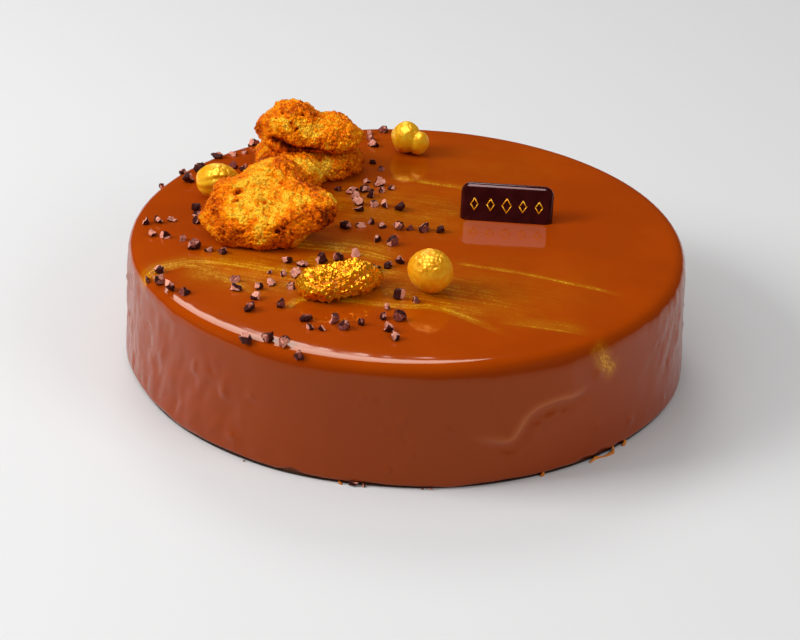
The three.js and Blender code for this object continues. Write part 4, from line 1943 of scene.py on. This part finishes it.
@dataclass
class ChocolatePlaque:
    """Small cast tile of dark chocolate that leans back on the glaze, with a plain gold ornament."""

    finish: ChocolateFinish = field(default_factory=ChocolateFinish)
    gilt: GoldFinish = GoldFinish("gold_line", grain=0.4, grain_depth=0.02)
    node: str = "chocolate_plaque"
    width: float = 30.4
    height: float = 10.1
    depth: float = 3.6
    corner: float = 3.2
    least_corner: float = 0.4
    pillow: float = 2.0
    back_taper: float = 0.25
    face_rise: float = 0.12
    face_shares: Span = (0.1, 0.9)
    sunk: float = 2.0
    seat: float = 0.9
    root: float = 0.2
    at: tuple[float, float] = (32.3, 16.4)
    turn: float = -0.07
    lean: float = 0.38
    level: float = TOP_LEVEL
    corner_steps: int = 10
    side_steps: int = 4
    pillow_steps: int = 12
    face_steps: int = 7
    sharp_angle: float = 50.0
    line_width: float = 0.42
    line_rise: float = 0.12
    line_root: float = 0.1
    line_taper: float = 0.7
    lozenge: tuple[float, float] = (3.0, 2.3)
    lozenge_step: float = 5.3
    lozenge_level: float = 0.30
    lozenge_scales: tuple[float, ...] = (0.8, 0.8, 1.0, 0.8, 0.8)

    def place(self, points: np.ndarray) -> np.ndarray:
        """Stands points of the flat tile up on the cake, where it leans.

        Args:
            points: across, up and out of the tile's back, one row each.

        Returns:
            Places on the cake.
        """
        tilt = Matrix.Rotation(math.pi / 2 - self.lean, 3, "X")
        spin = Matrix.Rotation(self.turn, 3, "Z")
        stood = points @ np.array(spin @ tilt).T
        return stood + (*self.at, self.level + self.seat)

    def outline(self, inset: float) -> np.ndarray:
        """The tile's outline, drawn in by an inset.

        Args:
            inset: how far inside the widest outline it runs.

        Returns:
            Points across and up, in order round the tile.
        """
        corner = max(self.corner - inset, self.least_corner)
        right, top, low = self.width / 2 - inset, self.height - inset, inset - self.pillow - self.sunk
        points = []
        for x, y, start in ((right, low, -90), (right, top, 0), (-right, top, 90), (-right, low, 180)):
            middle_x = x - math.copysign(corner, x)
            middle_y = y - math.copysign(corner, y - 0.5 * self.height)
            for turn in np.radians(np.linspace(start, start + 90, self.corner_steps)):
                points.append((middle_x + corner * math.cos(turn), middle_y + corner * math.sin(turn)))
        return np.array(points)

    def rings(self) -> list[tuple[float, float]]:
        """The outlines that the tile is built from, from its back over the pillow to its face.

        Returns:
            Inset and distance out of each.
        """
        side = self.depth - self.pillow
        rings = []
        for out in np.linspace(0.0, side, self.side_steps):
            rings.append((self.back_taper * (side - out) / side, out))
        for turn in np.linspace(0.0, math.pi / 2, self.pillow_steps)[1:]:
            rings.append((self.pillow * (1.0 - math.cos(turn)), side + self.pillow * math.sin(turn)))
        for share in np.linspace(*self.face_shares, self.face_steps):
            inset = self.pillow + share * (0.5 * self.height - self.pillow)
            rings.append((inset, self.depth + self.face_rise * share))
        return rings

    def build_tile(self) -> bpy.types.Object:
        """Makes the tile.

        Returns:
            The piece.
        """
        count = 4 * self.corner_steps
        loops = [np.column_stack([self.outline(inset), np.full(count, out)]) for inset, out in self.rings()]
        points = self.place(np.vstack(loops))
        points[:, 2] = np.maximum(points[:, 2], self.level - self.root)
        faces = loop_faces(len(loops), count)
        faces.append(tuple(reversed(range(count))))
        faces.append(tuple(range((len(loops) - 1) * count, len(loops) * count)))
        mesh = new_mesh(points, faces)
        mesh.set_sharp_from_angle(angle=math.radians(self.sharp_angle))
        return add_piece("cast_plaque", mesh, self.finish.material(), self.node)

    def build_ornament(self) -> bpy.types.Object:
        """Makes a plain gold ornament on the tile's face: a row of lozenges.

        Returns:
            The piece.
        """
        wide, tall = self.lozenge
        middle = self.lozenge_level * self.height
        first = -0.5 * (len(self.lozenge_scales) - 1) * self.lozenge_step
        points, faces = [], []
        for number, scale in enumerate(self.lozenge_scales):
            x = first + number * self.lozenge_step
            half, rise = scale * wide / 2, scale * tall
            corners = ((x - half, middle), (x, middle + rise), (x + half, middle), (x, middle - rise))
            for start, end in zip(corners, corners[1:] + corners[:1]):
                self.add_strip(points, faces, np.array(start), np.array(end))
        mesh = new_mesh(self.place(np.array(points)), faces)
        return add_piece("plaque_ornament", mesh, self.gilt.material(), None)

    def add_strip(self, points: list[Point], faces: list[Face], start: np.ndarray, end: np.ndarray) -> None:
        """Adds one thin raised line on the tile's face.

        Args:
            points: corner places so far, which the line's are added to.
            faces: faces so far, which the line's are added to.
            start: one end, across and up.
            end: the other end.
        """
        along = (end - start) / np.linalg.norm(end - start)
        side = 0.5 * self.line_width * np.array((-along[1], along[0]))
        head, tail = start - 0.5 * self.line_width * along, end + 0.5 * self.line_width * along
        crest = self.depth + self.face_rise + self.line_rise
        first = len(points)
        for out, narrow in ((self.depth - self.line_root, 1.0), (crest, self.line_taper)):
            edge = side * narrow
            points += [(x, y, out) for x, y in (head - edge, tail - edge, tail + edge, head + edge)]
        faces.append(tuple(range(first + 4, first + 8)))
        faces.append(tuple(reversed(range(first, first + 4))))
        faces += loop_faces(2, 4, first)


@dataclass
class GlazeDribbles:
    """Thin strings of glaze that ran off the lip and smeared along the foot.

    Each string is a row of bearing in degrees, distance out from the lip, height and thickness.
    """

    cake: GlazedCake
    finish: GlazeFinish = GlazeFinish("thin_glaze", colour=(0.66, 0.20, 0.03), shade=(0.46, 0.11, 0.010))
    strings: tuple[tuple[Spot, ...], ...] = (
        (
            (46.0, -0.6, 1.4, 0.7),
            (45.6, 0.1, 0.7, 0.6),
            (45.0, 0.9, 0.2, 0.8),
            (43.6, 0.9, 0.05, 0.55),
            (42.0, 0.4, 0.05, 0.4),
            (40.9, -0.1, 0.2, 0.7),
            (39.8, 0.3, 0.1, 0.5),
            (38.8, 0.8, 0.05, 0.7),
        ),
        ((50.0, -0.7, 0.9, 0.7), (49.3, -0.1, 0.3, 0.8), (48.4, 0.3, 0.1, 0.7)),
        ((28.8, -0.7, 0.8, 0.6), (28.3, -0.2, 0.3, 0.6), (27.8, 0.0, 0.1, 0.5)),
        ((-11.4, -0.5, 0.8, 0.4), (-11.1, 0.0, 0.3, 0.4), (-10.6, 0.15, 0.15, 0.4)),
        ((122.0, -0.5, 1.6, 0.5), (122.4, 0.3, 0.5, 0.6), (123.4, 0.8, 0.2, 0.5)),
        ((197.0, -0.5, 1.6, 0.5), (196.6, 0.4, 0.4, 0.6), (195.2, 0.9, 0.2, 0.4)),
        ((251.0, -0.5, 1.5, 0.5), (251.3, 0.2, 0.5, 0.5), (252.0, 0.6, 0.2, 0.5)),
    )
    turns: int = 12
    flatness: float = 0.55
    upturn: float = 0.15
    least_end: float = 0.02
    bluntness: int = 8

    def build(self) -> bpy.types.Object:
        """Makes all strings as one piece.

        Returns:
            The piece.
        """
        points, faces = [], []
        for string in self.strings:
            self.add_string(points, faces, Trail(string).line())
        mesh = new_mesh(np.array(points), faces)
        store(mesh, "gilt_flow", np.zeros((len(points), 3)))
        for name in ("gilt", "wall", "foot", "crease_sheen"):
            store(mesh, name, np.zeros(len(points)))
        return add_piece("glaze_dribbles", mesh, self.finish.material(), None)

    def add_string(self, points: list[Point], faces: list[Face], line: np.ndarray) -> None:
        """Adds one string with round ends.

        Args:
            points: corner places so far, which the string's are added to.
            faces: faces so far, which the string's are added to.
            line: rows of bearing, distance out from the lip, height and thickness.
        """
        first, count = len(points), len(line)
        angle = np.radians(line[:, 0])
        middle = round_points(angle, self.cake.lip_reach(angle) + line[:, 1], line[:, 2])
        onward = np.gradient(middle, axis=0)
        onward /= np.linalg.norm(onward, axis=1)[:, None]
        side = np.cross(onward, round_points(angle, 1.0, np.full(count, self.upturn)))
        side /= np.linalg.norm(side, axis=1)[:, None]
        lift = np.cross(side, onward)
        ends = 1.0 - np.linspace(-1.0, 1.0, count) ** self.bluntness
        ends = np.sqrt(np.maximum(ends, self.least_end))
        thick = (line[:, 3] * ends)[:, None]
        for turn in np.linspace(0.0, 2.0 * math.pi, self.turns, endpoint=False):
            ring = middle + thick * (math.cos(turn) * side + self.flatness * math.sin(turn) * lift)
            ring[:, 2] = np.maximum(ring[:, 2], 0.0)
            points += [tuple(place) for place in ring]
        for turn in range(self.turns):
            near, far = first + turn * count, first + (turn + 1) % self.turns * count
            faces += [(near + at, near + at + 1, far + at + 1, far + at) for at in range(count - 1)]
        faces.append(tuple(first + turn * count for turn in range(self.turns)))
        faces.append(tuple(first + turn * count + count - 1 for turn in reversed(range(self.turns))))


class LampShape(Enum):
    """Outline of a soft light."""

    RECTANGLE = "RECTANGLE"
    ELLIPSE = "ELLIPSE"


@dataclass(frozen=True)
class Softbox:
    """A soft studio light, placed in metres."""

    name: str
    place: Point
    size: tuple[float, float]
    watts: float
    mirrored: bool = False
    shape: LampShape = LampShape.RECTANGLE
    aim: Point = (0.0, 0.0, 0.04)

    def build(self) -> bpy.types.Object:
        """Hangs the light.

        Returns:
            The light.
        """
        lamp = bpy.data.lights.new(self.name, "AREA")
        lamp.shape = self.shape.value
        lamp.size, lamp.size_y = self.size
        lamp.energy = self.watts
        light = bpy.data.objects.new(self.name, lamp)
        light.location = self.place
        light.visible_glossy = self.mirrored
        light.rotation_euler = (Vector(self.aim) - Vector(self.place)).to_track_quat("-Z", "Y").to_euler()
        bpy.context.scene.collection.objects.link(light)
        return light


@dataclass
class Studio:
    """Floor, soft lights, room and camera, in metres."""

    floor_size: float = 14.0
    floor: FloorFinish = field(default_factory=FloorFinish)
    backdrop: float = 0.74
    fill: float = 0.28
    gleam: float = 0.02
    lights: tuple[Softbox, ...] = (
        Softbox("back_softbox", (-0.32, 1.777, 1.600), (1.02, 0.86), 10.4, True, LampShape.ELLIPSE),
        Softbox("key_softbox", (-0.28, -0.06, 0.85), (0.7, 0.7), 1.6),
        Softbox("left_softbox", (-1.00, -0.12, 0.66), (0.55, 0.55), 11.3),
        Softbox("right_softbox", (1.10, -0.70, 0.80), (0.8, 0.8), 6.0),
    )
    sheen: Softbox = Softbox("sheen_softbox", (-0.20, -0.15, 1.35), (1.0, 0.8), 20.0, True)
    camera_distance: float = 0.853
    camera_rise: float = math.radians(28.08)
    camera_roll: float = math.radians(1.96)
    camera_aim: Point = (-0.00145, 0.0, 0.00943)
    lens: float = 116.15
    sensor: float = 36.0

    def build_floor(self) -> None:
        """Lays the floor."""
        half = self.floor_size / 2 / MM
        corners = np.array([(-half, -half, 0.0), (half, -half, 0.0), (half, half, 0.0), (-half, half, 0.0)])
        mesh = new_mesh(corners, [(0, 1, 2, 3)])
        mesh.materials.append(self.floor.material())
        floor = bpy.data.objects.new("floor", mesh)
        bpy.context.scene.collection.objects.link(floor)

    def build_room(self) -> None:
        """Surrounds the floor with a pale backdrop that is dim in reflections."""
        world = bpy.data.worlds.new("room")
        world.use_nodes = True
        bpy.context.scene.world = world
        tree = world.node_tree
        tree.nodes.clear()
        ray = tree.nodes.new("ShaderNodeLightPath")
        shades = []
        for strength in (self.fill, self.gleam, self.backdrop):
            shade = tree.nodes.new("ShaderNodeBackground")
            shade.inputs["Color"].default_value = rgba((1.0, 1.0, 1.0))
            shade.inputs["Strength"].default_value = strength
            shades.append(shade.outputs[0])
        mixed = shades[0]
        for test, shade in (("Is Glossy Ray", shades[1]), ("Is Camera Ray", shades[2])):
            mix = tree.nodes.new("ShaderNodeMixShader")
            tree.links.new(ray.outputs[test], mix.inputs[0])
            tree.links.new(mixed, mix.inputs[1])
            tree.links.new(shade, mix.inputs[2])
            mixed = mix.outputs[0]
        output = tree.nodes.new("ShaderNodeOutputWorld")
        tree.links.new(mixed, output.inputs["Surface"])

    def gleam_on(self, toppings: list[bpy.types.Object]) -> None:
        """Hangs a light that only puts highlights on the toppings.

        Args:
            toppings: the pieces that it lights.
        """
        lit = bpy.data.collections.new("toppings")
        for piece in toppings:
            lit.objects.link(piece)
        light = self.sheen.build()
        light.visible_diffuse = False
        light.light_linking.receiver_collection = lit

    def build_camera(self) -> None:
        """Sets the camera up where the photograph was taken from."""
        lens = bpy.data.cameras.new("camera")
        lens.lens = self.lens
        lens.sensor_width = self.sensor
        camera = bpy.data.objects.new("camera", lens)
        out = self.camera_distance * math.cos(self.camera_rise)
        camera.location = (0.0, -out, self.camera_distance * math.sin(self.camera_rise))
        look = (Vector(self.camera_aim) - camera.location).to_track_quat("-Z", "Y")
        camera.rotation_mode = "QUATERNION"
        camera.rotation_quaternion = look @ Euler((0.0, 0.0, self.camera_roll)).to_quaternion()
        bpy.context.scene.collection.objects.link(camera)
        bpy.context.scene.camera = camera

    def build(self) -> None:
        """Sets up the whole studio."""
        self.build_floor()
        self.build_room()
        for light in self.lights:
            light.build()
        self.build_camera()
        bpy.context.scene.view_settings.view_transform = "Standard"


def main() -> None:
    """Builds the studio, the cake and its toppings."""
    logging.basicConfig(level=logging.INFO, format="%(message)s")
    studio = Studio()
    studio.build()
    cake = GlazedCake()
    cake.build()
    GlazeDribbles(cake).build()
    toppings = [CacaoNibs(cake).build()]
    toppings += [piece.build() for piece in (*honeycombs(), GildedNugget(), *hazelnuts())]
    plaque = ChocolatePlaque()
    toppings += [plaque.build_tile(), plaque.build_ornament()]
    studio.gleam_on(toppings)


if __name__ == "__main__":
    main()
